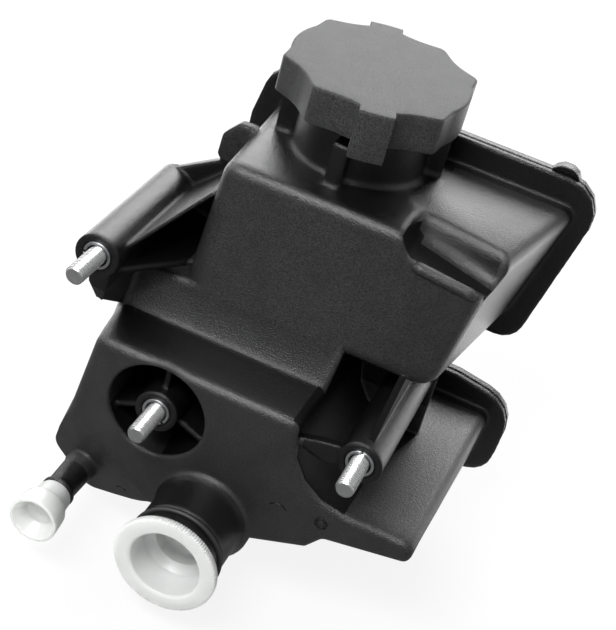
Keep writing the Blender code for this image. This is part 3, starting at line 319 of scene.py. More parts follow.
def broad_fillets(made, regions, broad):
    """Widens the softened edges of a moulded plastic inside the given boxes."""
    tree = made.node_tree
    bevel = next(node for node in tree.nodes if node.bl_idname == "ShaderNodeBevel")
    radius = bevel.inputs["Radius"]
    wider = spread(tree, region_share(tree, regions), 0.0, 1.0, radius.default_value, broad)
    tree.links.new(wider, radius)


def in_regions(point, regions):
    """Whether a point lies in any of the given boxes of (centre, half size)."""
    return any(all(abs(point[i] - centre[i]) < half[i] for i in range(3))
               for centre, half in regions)


def set_shine(made, level):
    """Sets how strongly a plastic mirrors."""
    made.node_tree.nodes["Principled BSDF"].inputs["Specular IOR Level"].default_value = level


black_moulding = moulded_plastic("black_moulding", POLISHED_AND_SHADE_BLACK, POLISHED_ROUGH, MOULDING_EDGE)
shell_plastic = moulded_plastic("shell_plastic", MOULDING_BLACK, MOULDING_ROUGH, MOULDING_EDGE)
broad_fillets(shell_plastic, BROAD_REGIONS, BROAD_EDGE)
# Painted shade: the polished zones take the far darker black in place of the grained one.
polished_and_shade_zones(shell_plastic, POLISHED_AND_SHADE_REGIONS, POLISHED_AND_SHADE_BLACK, POLISHED_ROUGH)
# Painted shade: a duller black with weak reflection for faces in the pocket and the top step.
painted_shade_black = moulded_plastic("painted_shade_black", POLISHED_AND_SHADE_BLACK, PAINTED_SHADE_ROUGH, MOULDING_EDGE)
set_shine(painted_shade_black, PAINTED_SHADE_SHINE)
front_moulding = merged_copy("front_shell", "front_moulding")
dress(front_moulding, shell_plastic, "tank", "black_plastic", "front_shell")
front_moulding.data.materials.append(painted_shade_black)
# Painted shade: the pocket's left wall and the top step, away from the right boss, take this black.
for face in front_moulding.data.polygons:
    from_boss = math.hypot(face.center.x - RIGHT_BOSS[0], face.center.z - RIGHT_BOSS[1])
    sideways = face.normal.y > -0.6
    if sideways and from_boss > RIGHT_BOSS_CLEAR and in_regions(face.center, PAINTED_SHADE_REGIONS):
        face.material_index = 1


# Neck thread: two starts of a rounded ridge round the neck, which the cap climbs. It is moulded
# in one with the neck, in the same black plastic.
NECK_CENTRE = (0.0245, 0.0626)
NECK_RADIUS = 0.0212
THREAD_HEIGHT = 0.00045
THREAD_LOW_Z = 0.0915
THREAD_TURNS = 1.1
THREAD_LEAD = 0.006


def geometry_tree(name, sockets):
    """An empty geometry tree with a geometry output and the named inputs."""
    tree = bpy.data.node_groups.new(name, "GeometryNodeTree")
    new_socket = tree.interface.new_socket
    new_socket("Geometry", in_out="INPUT", socket_type="NodeSocketGeometry")
    for title, kind, value in sockets:
        socket = new_socket(title, in_out="INPUT", socket_type="NodeSocket" + kind)
        socket.default_value = value
    new_socket("Geometry", in_out="OUTPUT", socket_type="NodeSocketGeometry")
    return tree, tree.nodes.new("NodeGroupInput"), tree.nodes.new("NodeGroupOutput")


def grown(name, tree, values, base=None, smooth_angle=50):
    """Runs a geometry tree with its inputs set and keeps the result as a plain mesh."""
    carrier = placed(name + "_base", base or bpy.data.meshes.new(name + "_base"))
    modifier = carrier.modifiers.new("grow", "NODES")
    modifier.node_group = tree
    for item in tree.interface.items_tree:
        if item.item_type == "SOCKET" and item.in_out == "INPUT" and item.name in values:
            modifier[item.identifier] = values[item.name]
    graph = bpy.context.evaluated_depsgraph_get()
    mesh = bpy.data.meshes.new_from_object(carrier.evaluated_get(graph))
    bpy.data.objects.remove(carrier)
    return finished_piece(name, mesh, smooth_angle)


def close_tree(tree, geometry, leave, material):
    """Realizes what the tree made and gives it its finish."""
    real = tree.nodes.new("GeometryNodeRealizeInstances")
    paint = tree.nodes.new("GeometryNodeSetMaterial")
    paint.inputs["Material"].default_value = material
    tree.links.new(geometry, real.inputs["Geometry"])
    tree.links.new(real.outputs["Geometry"], paint.inputs["Geometry"])
    tree.links.new(paint.outputs["Geometry"], leave.inputs["Geometry"])


def swept(tree, curve, radius, sides, scale=None, closed_ends=False):
    """A round string along a curve, with an optional scale from point to point."""
    ring = tree.nodes.new("GeometryNodeCurvePrimitiveCircle")
    ring.inputs["Resolution"].default_value = sides
    tree.links.new(radius, ring.inputs["Radius"])
    sweep = tree.nodes.new("GeometryNodeCurveToMesh")
    sweep.inputs["Fill Caps"].default_value = closed_ends
    tree.links.new(curve, sweep.inputs["Curve"])
    tree.links.new(ring.outputs["Curve"], sweep.inputs["Profile Curve"])
    if scale:
        tree.links.new(scale, sweep.inputs["Scale"])
    return sweep.outputs["Mesh"]


def thread_tree():
    """Two helices round the neck, half a turn apart, each swept as a ridge."""
    tree, entry, leave = geometry_tree("neck_thread_ridge", [
        ("Radius", "Float", 0.0212), ("Lead", "Float", 0.006), ("Turns", "Float", 1.1),
        ("Ridge", "Float", 0.0006), ("Low", "Vector", (0.0, 0.0, 0.0)),
    ])
    link = tree.links.new
    join = tree.nodes.new("GeometryNodeJoinGeometry")
    for start in (0.0, math.pi):
        helix = tree.nodes.new("GeometryNodeCurveSpiral")
        helix.inputs["Resolution"].default_value = 96
        rise = tree.nodes.new("ShaderNodeMath")
        rise.operation = "MULTIPLY"
        link(entry.outputs["Lead"], rise.inputs[0])
        link(entry.outputs["Turns"], rise.inputs[1])
        link(rise.outputs["Value"], helix.inputs["Height"])
        link(entry.outputs["Turns"], helix.inputs["Rotations"])
        link(entry.outputs["Radius"], helix.inputs["Start Radius"])
        link(entry.outputs["Radius"], helix.inputs["End Radius"])
        turn = tree.nodes.new("GeometryNodeTransform")
        turn.inputs["Rotation"].default_value = (0.0, 0.0, start)
        link(helix.outputs["Curve"], turn.inputs["Geometry"])
        link(turn.outputs["Geometry"], join.inputs["Geometry"])
    shift = tree.nodes.new("GeometryNodeTransform")
    link(join.outputs["Geometry"], shift.inputs["Geometry"])
    link(entry.outputs["Low"], shift.inputs["Translation"])
    ridges = swept(tree, shift.outputs["Geometry"], entry.outputs["Ridge"], 10, closed_ends=True)
    close_tree(tree, ridges, leave, black_moulding)
    return tree


neck_thread = grown("neck_thread", thread_tree(), {
    "Radius": NECK_RADIUS, "Lead": THREAD_LEAD, "Turns": THREAD_TURNS,
    "Ridge": THREAD_HEIGHT, "Low": (*NECK_CENTRE, THREAD_LOW_Z),
})
dress(neck_thread, black_moulding, "tank", "black_plastic")


# Tool marks on the front moulding: a blank dial with its ticks and the thin crescents that two
# ejector pins left, all in the lower face's plane and raised about a fifth of a millimetre. The
# face falls away under the second crescent, which stands 1.4 to 2.4 mm clear of it.
DIAL_CENTRE = (0.0594, -0.0001, -0.0137)
DIAL_RADIUS = 0.0020
DIAL_LINE = 0.00014
DIAL_TICKS = 12
DIAL_TICK = (0.0007, 0.00016, 0.0002)
DIAL_TICK_SHARE = 0.68
CRESCENT_LINE = 0.00022
CRESCENT_STEP = 0.0003
CRESCENTS = ((0.0452, -0.0168, 0.0034, 35, 150), (-0.0056, -0.0361, 0.0018, 20, 160))


def dial_tree():
    """A thin ring with short ticks inside it, upright on the face."""
    tree, entry, leave = geometry_tree("dial_ticks", [
        ("Centre", "Vector", (0.0, 0.0, 0.0)), ("Radius", "Float", 0.002), ("Ticks", "Int", 12),
        ("Line", "Float", 0.00014),
    ])
    link = tree.links.new
    circle = tree.nodes.new("GeometryNodeCurvePrimitiveCircle")
    circle.inputs["Resolution"].default_value = 40
    link(entry.outputs["Radius"], circle.inputs["Radius"])
    spots = tree.nodes.new("GeometryNodeMeshCircle")
    inner = tree.nodes.new("ShaderNodeMath")
    inner.operation = "MULTIPLY"
    inner.inputs[1].default_value = DIAL_TICK_SHARE
    link(entry.outputs["Radius"], inner.inputs[0])
    link(entry.outputs["Ticks"], spots.inputs["Vertices"])
    link(inner.outputs["Value"], spots.inputs["Radius"])
    tick = tree.nodes.new("GeometryNodeMeshCube")
    tick.inputs["Size"].default_value = DIAL_TICK
    facing = tree.nodes.new("FunctionNodeAlignRotationToVector")
    facing.axis = "X"
    position = tree.nodes.new("GeometryNodeInputPosition")
    link(position.outputs["Position"], facing.inputs["Vector"])
    copies = tree.nodes.new("GeometryNodeInstanceOnPoints")
    link(spots.outputs["Mesh"], copies.inputs["Points"])
    link(tick.outputs["Mesh"], copies.inputs["Instance"])
    link(facing.outputs["Rotation"], copies.inputs["Rotation"])
    both = tree.nodes.new("GeometryNodeJoinGeometry")
    link(swept(tree, circle.outputs["Curve"], entry.outputs["Line"], 6), both.inputs["Geometry"])
    link(copies.outputs["Instances"], both.inputs["Geometry"])
    stand = tree.nodes.new("GeometryNodeTransform")
    stand.inputs["Rotation"].default_value = (math.pi / 2, 0.0, 0.0)
    link(both.outputs["Geometry"], stand.inputs["Geometry"])
    link(entry.outputs["Centre"], stand.inputs["Translation"])
    close_tree(tree, stand.outputs["Geometry"], leave, black_moulding)
    return tree


def even_path(tree, entry):
    """The path given to the tree as a curve with points at its Step."""
    curve = tree.nodes.new("GeometryNodeMeshToCurve")
    tree.links.new(entry.outputs["Geometry"], curve.inputs["Mesh"])
    even = tree.nodes.new("GeometryNodeResampleCurve")
    even.mode = "LENGTH"
    tree.links.new(curve.outputs["Curve"], even.inputs["Curve"])
    tree.links.new(entry.outputs["Step"], even.inputs["Length"])
    return even.outputs["Curve"]


def ridge_tree(name, finish):
    """A rounded ridge along a path, thinner towards both of its ends."""
    tree, entry, leave = geometry_tree(name, [
        ("Ridge", "Float", 0.001), ("Step", "Float", 0.001),
    ])
    along = tree.nodes.new("GeometryNodeSplineParameter")
    from_end = tree.nodes.new("ShaderNodeMath")
    from_end.operation = "PINGPONG"
    from_end.inputs[1].default_value = 0.5
    tree.links.new(along.outputs["Factor"], from_end.inputs[0])
    taper = tree.nodes.new("ShaderNodeMapRange")
    taper.interpolation_type = "SMOOTHSTEP"
    taper.inputs["From Max"].default_value = 0.12
    taper.inputs["To Min"].default_value = 0.25
    tree.links.new(from_end.outputs["Value"], taper.inputs["Value"])
    ridge = swept(tree, even_path(tree, entry), entry.outputs["Ridge"], 20,
                  taper.outputs["Result"], closed_ends=True)
    close_tree(tree, ridge, leave, finish)
    return tree


def path_mesh(name, *runs):
    """Open runs of points joined by edges, for a ridge to follow."""
    points, edges = [], []
    for run in runs:
        edges += [(len(points) + i, len(points) + i + 1) for i in range(len(run) - 1)]
        points += run
    path = bpy.data.meshes.new(name)
    path.from_pydata(points, edges, [])
    return path


def crescent(x, z, radius, start, finish):
    """Points along an arc in the lower face's plane, from one angle in degrees to another."""
    turns = [math.radians(start + (finish - start) * i / 12) for i in range(13)]
    return [(x + radius * math.cos(t), 0.0, z + radius * math.sin(t)) for t in turns]


tool_dial = grown("tool_dial", dial_tree(), {
    "Centre": DIAL_CENTRE, "Radius": DIAL_RADIUS, "Ticks": DIAL_TICKS, "Line": DIAL_LINE,
})
dress(tool_dial, black_moulding, "tank", "black_plastic")
crescents = path_mesh("crescent_paths", *[crescent(*arc) for arc in CRESCENTS])
tool_crescents = grown("tool_crescents", ridge_tree("crescent_ridges", black_moulding),
                       {"Ridge": CRESCENT_LINE, "Step": CRESCENT_STEP}, crescents)
dress(tool_crescents, black_moulding, "tank", "black_plastic")


# Step lip: the rounded bead along the front of the step in the upper chamber's top, moulded
# with the chamber and as grained as its face.
LIP_RADIUS = 0.0019
LIP_STEP = 0.0005
LIP_LEFT = (0.0560, 0.0265, 0.0674)
LIP_RIGHT = (0.0785, 0.0265, 0.0652)

lip_path = path_mesh("lip_path", [LIP_LEFT, LIP_RIGHT])
step_lip = grown("step_lip", ridge_tree("lip_bead", shell_plastic),
                 {"Ridge": LIP_RADIUS, "Step": LIP_STEP}, lip_path)
dress(step_lip, shell_plastic, "tank", "black_plastic")


# Rear moulding: the shallow back of the tank, hot-plate welded to the front one along the
# flange. Its tool was polished like the flange's.
rear_moulding = merged_copy("rear_shell", "rear_moulding")
dress(rear_moulding, black_moulding, "tank", "black_plastic", "rear_shell")


# Weld bead: the melt that the hot-plate weld squeezes out between the two flanges, a thin
# uneven string along the whole seam.
SEAM_Y = 0.0848
BEAD_RADIUS = 0.00038
BEAD_STEP = 0.0006
BEAD_SEED = 7.0
BEAD_INSET = 0.0001
BEAD_FORWARD = 0.00015


def seam_loop(y):
    """The flange's outline as ordered points, from the sharp front rim of the rear moulding."""
    shell = bmesh.new()
    shell.from_mesh(rear_moulding.data)
    shell.normal_update()
    ahead = {}
    for edge in shell.edges:
        if len(edge.link_faces) != 2 or any(abs(v.co.y - y) > 0.00005 for v in edge.verts):
            continue
        sides = sorted(abs(face.normal.y) for face in edge.link_faces)
        if sides[0] < 0.2 and sides[1] > 0.98:
            a, b = edge.verts
            ahead.setdefault(a.index, []).append(b.index)
            ahead.setdefault(b.index, []).append(a.index)
    places = {v.index: v.co.copy() for v in shell.verts}
    shell.free()
    start = max(ahead, key=lambda i: places[i].z)
    loop = [start]
    while True:
        following = [i for i in ahead[loop[-1]] if i not in loop[-2:]]
        if not following or following[0] == start:
            return [places[i] for i in loop]
        loop.append(following[0])


def bead_tree():
    """An uneven string along the seam, whose thickness follows noise."""
    tree, entry, leave = geometry_tree("weld_bead_string", [
        ("Bead Radius", "Float", 0.0004), ("Step", "Float", 0.0006), ("Seed", "Float", 7.0),
    ])
    uneven = tree.nodes.new("ShaderNodeTexNoise")
    uneven.noise_dimensions = "4D"
    uneven.inputs["Scale"].default_value = 420.0
    uneven.inputs["Detail"].default_value = 3.0
    tree.links.new(entry.outputs["Seed"], uneven.inputs["W"])
    swing = spread(tree, uneven.outputs["Fac"], 0.3, 0.7, 0.55, 1.25)
    string = swept(tree, even_path(tree, entry), entry.outputs["Bead Radius"], 7, swing)
    close_tree(tree, string, leave, black_moulding)
    return tree


seam = seam_loop(SEAM_Y)
middle = sum(seam, Vector()) / len(seam)
forward = Vector((0, BEAD_FORWARD, 0))
seam_path = bpy.data.meshes.new("seam_path")
seam_path.from_pydata([p + (middle - p).normalized() * BEAD_INSET - forward for p in seam],
                      [(i, (i + 1) % len(seam)) for i in range(len(seam))], [])
weld_bead = grown("weld_bead", bead_tree(), {
    "Bead Radius": BEAD_RADIUS, "Step": BEAD_STEP, "Seed": BEAD_SEED,
}, seam_path, 180)
dress(weld_bead, black_moulding, "tank", "black_plastic")


# Compression sleeves: 1 mm steel strip rolled round and pressed into each boss, with an open
# slit. They carry the bolts' clamping force, and are zinc plated.
ZINC = (0.50, 0.51, 0.52)
PLATED_EDGE = 0.00015


def fine_bump(tree, shader, height, strength, normal=None):
    """A bump of up to two hundredths of a millimetre as the shader's normal."""
    bump = new_node(tree, "Bump")
    bump.inputs["Distance"].default_value = 0.00002
    bump.inputs["Strength"].default_value = strength
    tree.links.new(height, bump.inputs["Height"])
    if normal:
        tree.links.new(normal, bump.inputs["Normal"])
    tree.links.new(bump.outputs["Normal"], shader.inputs["Normal"])


def plated_steel(name, colour, roughness):
    """Zinc plated steel with a faint uneven sheen."""
    made, tree, shader = new_finish(name)
    shader.inputs["Metallic"].default_value = 1.0
    cloud = noise(tree, new_node(tree, "TexCoord").outputs["Object"], 700.0, 5.0, 0.65)
    tint = blend(tree, cloud, tinted(colour, 0.92), tinted(colour, 1.08))
    gloss = spread(tree, cloud, 0.3, 0.7, roughness - 0.03, roughness + 0.04)
    soft = new_node(tree, "Bevel", samples=4)
    soft.inputs["Radius"].default_value = PLATED_EDGE
    fine_bump(tree, shader, cloud, 0.25, soft.outputs["Normal"])
    tree.links.new(tint, shader.inputs["Base Color"])
    tree.links.new(gloss, shader.inputs["Roughness"])
    return made


sleeve_zinc = plated_steel("sleeve_zinc", ZINC, 0.34)
for side in ("left", "middle", "right"):
    rolled = merged_copy("sleeve_" + side, "rolled_sleeve_" + side, 30)
    rim = rolled.modifiers.new("edge", "BEVEL")
    rim.width = PLATED_EDGE
    rim.segments = 2
    rim.limit_method = "ANGLE"
    rim.angle_limit = math.radians(50)
    dress(rolled, sleeve_zinc, "tank", "zinc_plated_steel", "sleeve_" + side)


# Captive bolts: M6 flanged hexagon bolts with a rolled thread and a pressed, slightly dished
# tip. The threads end a little inside the sleeves, and the shanks behind them are plain.
BOLT_PLACES = {"left": (-0.0285, 0.0449), "middle": (0.0, 0.0), "right": RIGHT_BOSS}
BOLT_ZINC = (0.68, 0.685, 0.69)
BOLT_RADIUS = 0.003
BOLT_TIP_Y = -0.014
BOLT_SEAT_Y = 0.0559
BOLT_FLANGE = 0.0014
BOLT_AROUND = 36
THREAD_PITCH = 0.001
THREAD_SAMPLE = 0.0001
THREAD_DEPTH = 0.00052
THREAD_END_Y = 0.0035
THREAD_FADE = 0.0012
THREAD_FLANK = 1.35
THREAD_CREST = 0.12
TIP_RADIUS = 0.0022
TIP_CHAMFER = 0.0008
HEAD_RADIUS = 0.00577
HEAD_HEIGHT = 0.0055


def lathe(name, rings, centre, axis="Y", smooth_angle=40):
    """Skins rings of (radius, height) pairs, one pair a turn's step, about Y or Z."""
    points = []
    faces = []
    count = len(rings[0])
    for ring in rings:
        for i, (radius, height) in enumerate(ring):
            turn = 2 * math.pi * i / count
            across, along = radius * math.cos(turn), radius * math.sin(turn)
            offset = (across, height, along) if axis == "Y" else (across, along, height)
            points.append([middle + out for middle, out in zip(centre, offset)])
    for level in range(len(rings) - 1):
        for i in range(count):
            a = level * count + i
            b = level * count + (i + 1) % count
            faces.append((a, b, b + count, a + count))
    mesh = bpy.data.meshes.new(name)
    mesh.from_pydata(points, [], faces)
    shell = bmesh.new()
    shell.from_mesh(mesh)
    bmesh.ops.remove_doubles(shell, verts=shell.verts, dist=0.0000005)
    bmesh.ops.dissolve_degenerate(shell, edges=shell.edges, dist=0.0000005)
    bmesh.ops.recalc_face_normals(shell, faces=shell.faces)
    shell.to_mesh(mesh)
    shell.free()
    return finished_piece(name, mesh, smooth_angle)


def thread_ring(y):
    """One ring of the bolt at depth y, with the thread's height at each turn."""
    ring = []
    for i in range(BOLT_AROUND):
        phase = (y / THREAD_PITCH + i / BOLT_AROUND) % 1.0
        groove = min(1.0, max(0.0, abs(2 * phase - 1) * THREAD_FLANK - THREAD_CREST))
        fade = min(1.0, max(0.0, (THREAD_END_Y - y) / THREAD_FADE))
        start = min(1.0, max(0.0, (y - BOLT_TIP_Y + 0.0001) / TIP_CHAMFER))
        radius = BOLT_RADIUS - THREAD_DEPTH * groove * fade
        ring.append((min(radius, TIP_RADIUS + TIP_CHAMFER * start + 0.00002), y))
    return ring


def head_ring(inset, height):
    """One ring of the hexagon head, with its corners turned off."""
    ring = []
    for i in range(BOLT_AROUND):
        turn = (2 * math.pi * i / BOLT_AROUND - math.pi / 6) % (math.pi / 3) - math.pi / 6
        radius = HEAD_RADIUS * math.cos(math.pi / 6) / math.cos(turn)
        ring.append((min(radius, HEAD_RADIUS - 0.0001) - inset, height))
    return ring


def bolt_mesh(name, place):
    """A bolt from its tip through thread, shank and flange to its hexagon head."""
    tip = [(0.0, BOLT_TIP_Y + 0.00025), (0.0011, BOLT_TIP_Y + 0.00022),
           (0.0016, BOLT_TIP_Y + 0.00006), (0.0020, BOLT_TIP_Y)]
    shank = [(0.0030, 0.0040), (0.0030, BOLT_SEAT_Y - 0.0003), (0.0032, BOLT_SEAT_Y),
             (0.0063, BOLT_SEAT_Y), (0.0065, BOLT_SEAT_Y + 0.0002),
             (0.0065, BOLT_SEAT_Y + 0.0005), (0.0063, BOLT_SEAT_Y + 0.0007)]
    head = BOLT_SEAT_Y + BOLT_FLANGE
    top = head + HEAD_HEIGHT
    dimple = [(0.0030, top), (0.0026, top - 0.0003), (0.0, top - 0.0003)]
    steps = int((THREAD_END_Y - BOLT_TIP_Y) / THREAD_SAMPLE)
    rings = [[pair] * BOLT_AROUND for pair in tip]
    rings += [thread_ring(BOLT_TIP_Y + THREAD_SAMPLE * i) for i in range(steps + 1)]
    rings += [[pair] * BOLT_AROUND for pair in shank]
    rings += [head_ring(inset, height) for inset, height in (
        (0.0, head), (0.0, top - 0.0008), (0.0006, top - 0.0001), (0.0012, top))]
    rings += [[pair] * BOLT_AROUND for pair in dimple]
    return lathe(name, rings, (place[0], 0.0, place[1]), smooth_angle=58)


bolt_zinc = plated_steel("bolt_zinc", BOLT_ZINC, 0.28)
for side, place in BOLT_PLACES.items():
    threaded = bolt_mesh("threaded_bolt_" + side, place)
    dress(threaded, bolt_zinc, side + "_bolt", "zinc_plated_steel", "bolt_" + side)


# Filler cap: a grey glass-filled cap with six crests, wide hollows and two long grip tabs. It
# is a little oval, and a plain collar inside, without a thread, fits over the neck's.
CAP_CREST = NECK_RADIUS + 0.0115
CAP_FALL = 0.0018
CAP_LOBES = (36, 108, 144)
CAP_SCALLOP = 0.0028
CAP_CREST_HALF = 1.2
CAP_SLOPE = 16.0
CAP_TAB = NECK_RADIUS + 0.0128
CAP_TAB_TURN = 286.0
CAP_TAB_HALF = 9.6
CAP_TAB_SLOPE = 0.7
CAP_LOW_Z = 0.0942
CAP_TAB_LOW_Z = 0.0904
CAP_TOP_Z = 0.1057
CAP_ROOF_Z = 0.1022
CAP_AROUND = 720
CAP_CLEARANCE = 0.0007
CAP_COLLAR = 0.0024
CAP_WALL = 0.0018
CAP_GREY = (0.049, 0.0495, 0.051)
CAP_SHINE = 0.22


def cap_edge(turn):
    """(radius, lowest height) of the skirt at a turn in degrees from the first tab."""
    half = turn % 180
    side = min(half, 180 - half)
    crest = CAP_CREST - CAP_FALL * math.sin(math.radians(turn)) ** 2
    away = min([abs(half - lobe) for lobe in CAP_LOBES] + [side])
    slope = math.sin(math.pi / 2 * min(1.0, max(0.0, away - CAP_CREST_HALF) / CAP_SLOPE))
    flute = crest - CAP_SCALLOP * slope
    share = min(1.0, max(0.0, (CAP_TAB_HALF + CAP_TAB_SLOPE / 2 - side) / CAP_TAB_SLOPE))
    return flute + (CAP_TAB - flute) * share, CAP_LOW_Z + (CAP_TAB_LOW_Z - CAP_LOW_Z) * share


def cap_rings():
    """The cap from its roof's inside over socket, collar and skirt to the top's middle."""
    collar_in = NECK_RADIUS + CAP_CLEARANCE
    collar_out = collar_in + CAP_COLLAR
    skirt_in = CAP_CREST - CAP_FALL - CAP_SCALLOP - CAP_WALL
    bend_z = CAP_TOP_Z - 0.0009
    inside = [
        (0.0, CAP_ROOF_Z + 0.0002), (0.0053, CAP_ROOF_Z + 0.0002), (0.0053, 0.0974),
        (0.0055, 0.0972), (0.0069, 0.0972), (0.0071, 0.0974), (0.0071, CAP_ROOF_Z - 0.0004),
        (0.0075, CAP_ROOF_Z), (collar_in - 0.0003, CAP_ROOF_Z), (collar_in, CAP_ROOF_Z - 0.0003),
        (collar_in, 0.0952), (collar_in + 0.0004, 0.0948), (collar_out - 0.0003, 0.0948),
        (collar_out, 0.0951), (collar_out, CAP_ROOF_Z - 0.0004), (collar_out + 0.0004, CAP_ROOF_Z),
        (skirt_in - 0.0006, CAP_ROOF_Z), (skirt_in, CAP_ROOF_Z - 0.0006),
    ]
    edges = [cap_edge(360.0 * i / CAP_AROUND - CAP_TAB_TURN) for i in range(CAP_AROUND)]
    rings = [[pair] * CAP_AROUND for pair in inside]
    rings.append([(skirt_in, low + 0.0003) for _, low in edges])
    rings.append([(skirt_in + 0.0003, low) for _, low in edges])
    for inset, lift in ((0.0004, 0.0), (0.0001, 0.0001), (0.0, 0.0004)):
        rings.append([(radius - inset, low + lift) for radius, low in edges])
    rings += [[(radius, z) for radius, _ in edges] for z in (0.0975, 0.1005, 0.1030, bend_z)]
    for step in range(1, 5):
        bend = math.pi / 2 * step / 4
        inset, lift = 0.0008 * (1 - math.cos(bend)), 0.0008 * math.sin(bend)
        rings.append([(radius - inset, bend_z + lift) for radius, _ in edges])
    rings.append([(radius - 0.0022, CAP_TOP_Z) for radius, _ in edges])
    return rings + [[(radius, CAP_TOP_Z)] * CAP_AROUND for radius in (0.0245, 0.012, 0.0)]


cap_plastic = moulded_plastic("cap_plastic", CAP_GREY, 0.50, 0.0005, (2600.0, 0.6), 0.02)
set_shine(cap_plastic, CAP_SHINE)
fluted_cap = lathe("fluted_cap", cap_rings(), (*NECK_CENTRE, 0.0), "Z", 30)
dress(fluted_cap, cap_plastic, "cap", "cap_grey_plastic", "filler_cap")


# Cap seal and dipstick: a black rubber ring pressed on the neck's rim, and a black blade with
# level notches that snaps into the cap. Both show only when the cap is off.
RUBBER_DARK = (0.008, 0.008, 0.0085, 1.0)
RUBBER_LIGHT = (0.018, 0.018, 0.018, 1.0)


def rubber(name, roughness):
    """Black rubber with a fine bloom."""
    made, tree, shader = new_finish(name)
    bloom = noise(tree, new_node(tree, "TexCoord").outputs["Object"], 1400.0, 4.0, 0.6)
    gloss = spread(tree, bloom, 0.3, 0.7, roughness - 0.06, roughness + 0.06)
    tree.links.new(blend(tree, bloom, RUBBER_DARK, RUBBER_LIGHT), shader.inputs["Base Color"])
    tree.links.new(gloss, shader.inputs["Roughness"])
    fine_bump(tree, shader, bloom, 0.3)
    return made


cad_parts["cap_seal"].data.materials[0] = rubber("seal_rubber", 0.62)
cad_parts["dipstick"].data.materials[0] = black_moulding


# Outlet O-ring: a black rubber ring of round section, stretched into the groove behind the
# outlet's mouth, where it seals the hose.
OUTLET_X = 0.0221
OUTLET_Z = -0.0312
RING_CENTRE = (OUTLET_X, -0.0182, OUTLET_Z)
RING_MAJOR = 0.01448
RING_MINOR = 0.00092


def ring_rings():
    """The ring's round section, closed on itself."""
    turns = [2 * math.pi * i / 18 for i in range(18)]
    section = [(RING_MAJOR + RING_MINOR * math.cos(t), RING_MINOR * math.sin(t)) for t in turns]
    return [[pair] * 96 for pair in section + section[:1]]


pipe_ring = lathe("pipe_ring", ring_rings(), RING_CENTRE, "Y", 60)
dress(pipe_ring, rubber("ring_rubber", 0.5), "tank", "black_rubber", "outlet_o_ring")


# Outlet plug: a thin polyethylene cup with a finely serrated flange. It seals the pipe for
# transport, and light passes through its walls.
PLUG_CENTRE = (OUTLET_X, 0.0, OUTLET_Z)
PLUG_FACE_Y = -0.0243
PLUG_FRONT_Y = -0.0269
PLUG_RADIUS = 0.0169
PLUG_TEETH = 120
PLUG_TOOTH = 0.0004
PLUG_AROUND = 720
MILKY = (0.69, 0.70, 0.69)


def milky_polyethylene(name, colour, roughness, depth):
    """Soft white polyethylene that scatters light inside its walls."""
    made, tree, shader = new_finish(name)
    shader.inputs["Subsurface Weight"].default_value = 0.6
    shader.inputs["Transmission Weight"].default_value = 0.04
    shader.inputs["Subsurface Radius"].default_value = (1.0, 1.0, 0.95)
    shader.inputs["Subsurface Scale"].default_value = depth
    skin = grained_skin(tree, shader, 0.0003, 4, 1500.0, 0.12)
    tint = blend(tree, skin.outputs["Mottle"], tinted(colour, 0.95), tinted(colour, 1.0))
    tree.links.new(tint, shader.inputs["Base Color"])
    uneven_gloss(tree, shader, skin.outputs["Mottle"], roughness - 0.04, roughness + 0.05)
    return made


def plug_rings():
    """The plug from the cup's floor over its toothed flange to the outside of its body."""
    cup = [
        (0.0, -0.0099), (0.0084, -0.0099), (0.0088, -0.0103), (0.0088, -0.01415),
        (0.0114, -0.01635), (0.0115, -0.0166), (0.0115, -0.0262), (0.0121, PLUG_FRONT_Y + 0.0001),
        (0.0124, PLUG_FRONT_Y),
    ]
    flange = [
        (0.0007, PLUG_FRONT_Y), (0.0002, PLUG_FRONT_Y + 0.0002), (0.0, PLUG_FRONT_Y + 0.0005),
        (0.0, PLUG_FACE_Y - 0.0004), (0.0003, PLUG_FACE_Y),
    ]
    outside = [
        (0.0129, PLUG_FACE_Y), (0.0126, PLUG_FACE_Y + 0.0002), (0.0126, -0.0158),
        (0.0099, -0.0136), (0.0099, -0.0098), (0.0096, -0.0090), (0.0089, -0.0088), (0.0, -0.0088),
    ]
    teeth = []
    for i in range(PLUG_AROUND):
        phase = (i * PLUG_TEETH / PLUG_AROUND) % 1.0
        valley = (0.5 - 0.5 * math.cos(2 * math.pi * phase)) ** 0.8
        teeth.append(PLUG_RADIUS - PLUG_TOOTH * valley)
    rings = [[pair] * PLUG_AROUND for pair in cup]
    rings += [[(radius - inset, height) for radius in teeth] for inset, height in flange]
    return rings + [[pair] * PLUG_AROUND for pair in outside]


milky = milky_polyethylene("milky_polyethylene", MILKY, 0.32, 0.0035)
serrated_plug = lathe("serrated_plug", plug_rings(), PLUG_CENTRE, "Y", 40)
dress(serrated_plug, milky, "plug", "white_polyethylene", "outlet_plug")


# Return cap: a flared polyethylene cap pushed over the nozzle's tip, with an open cup in front
# that gives a grip for pulling it off.
RETURN_CENTRE = (-0.0219, 0.0, -0.0366)


def return_cap_rings():
    """The cap from the cup's floor over its flared mouth to the socket for the nozzle."""
    profile = [
        (0.0, -0.0225), (0.0045, -0.0225), (0.0050, -0.0229), (0.0067, -0.0271),
        (0.0071, -0.0275), (0.0077, -0.0275), (0.0080, -0.0273), (0.0081, -0.0268),
        (0.0077, -0.0222), (0.0074, -0.0202), (0.0070, -0.0194), (0.0062, -0.0188),
        (0.0059, -0.0182), (0.0056, -0.0136), (0.0054, -0.0131), (0.0051, -0.0129),
        (0.0046, -0.0129), (0.0044, -0.0131), (0.0044, -0.0211), (0.0, -0.0211),
    ]
    return [[pair] * 96 for pair in profile]


flared_cap = lathe("flared_cap", return_cap_rings(), RETURN_CENTRE, "Y", 35)
dress(flared_cap, milky, "return_plug", "white_polyethylene", "return_cap")


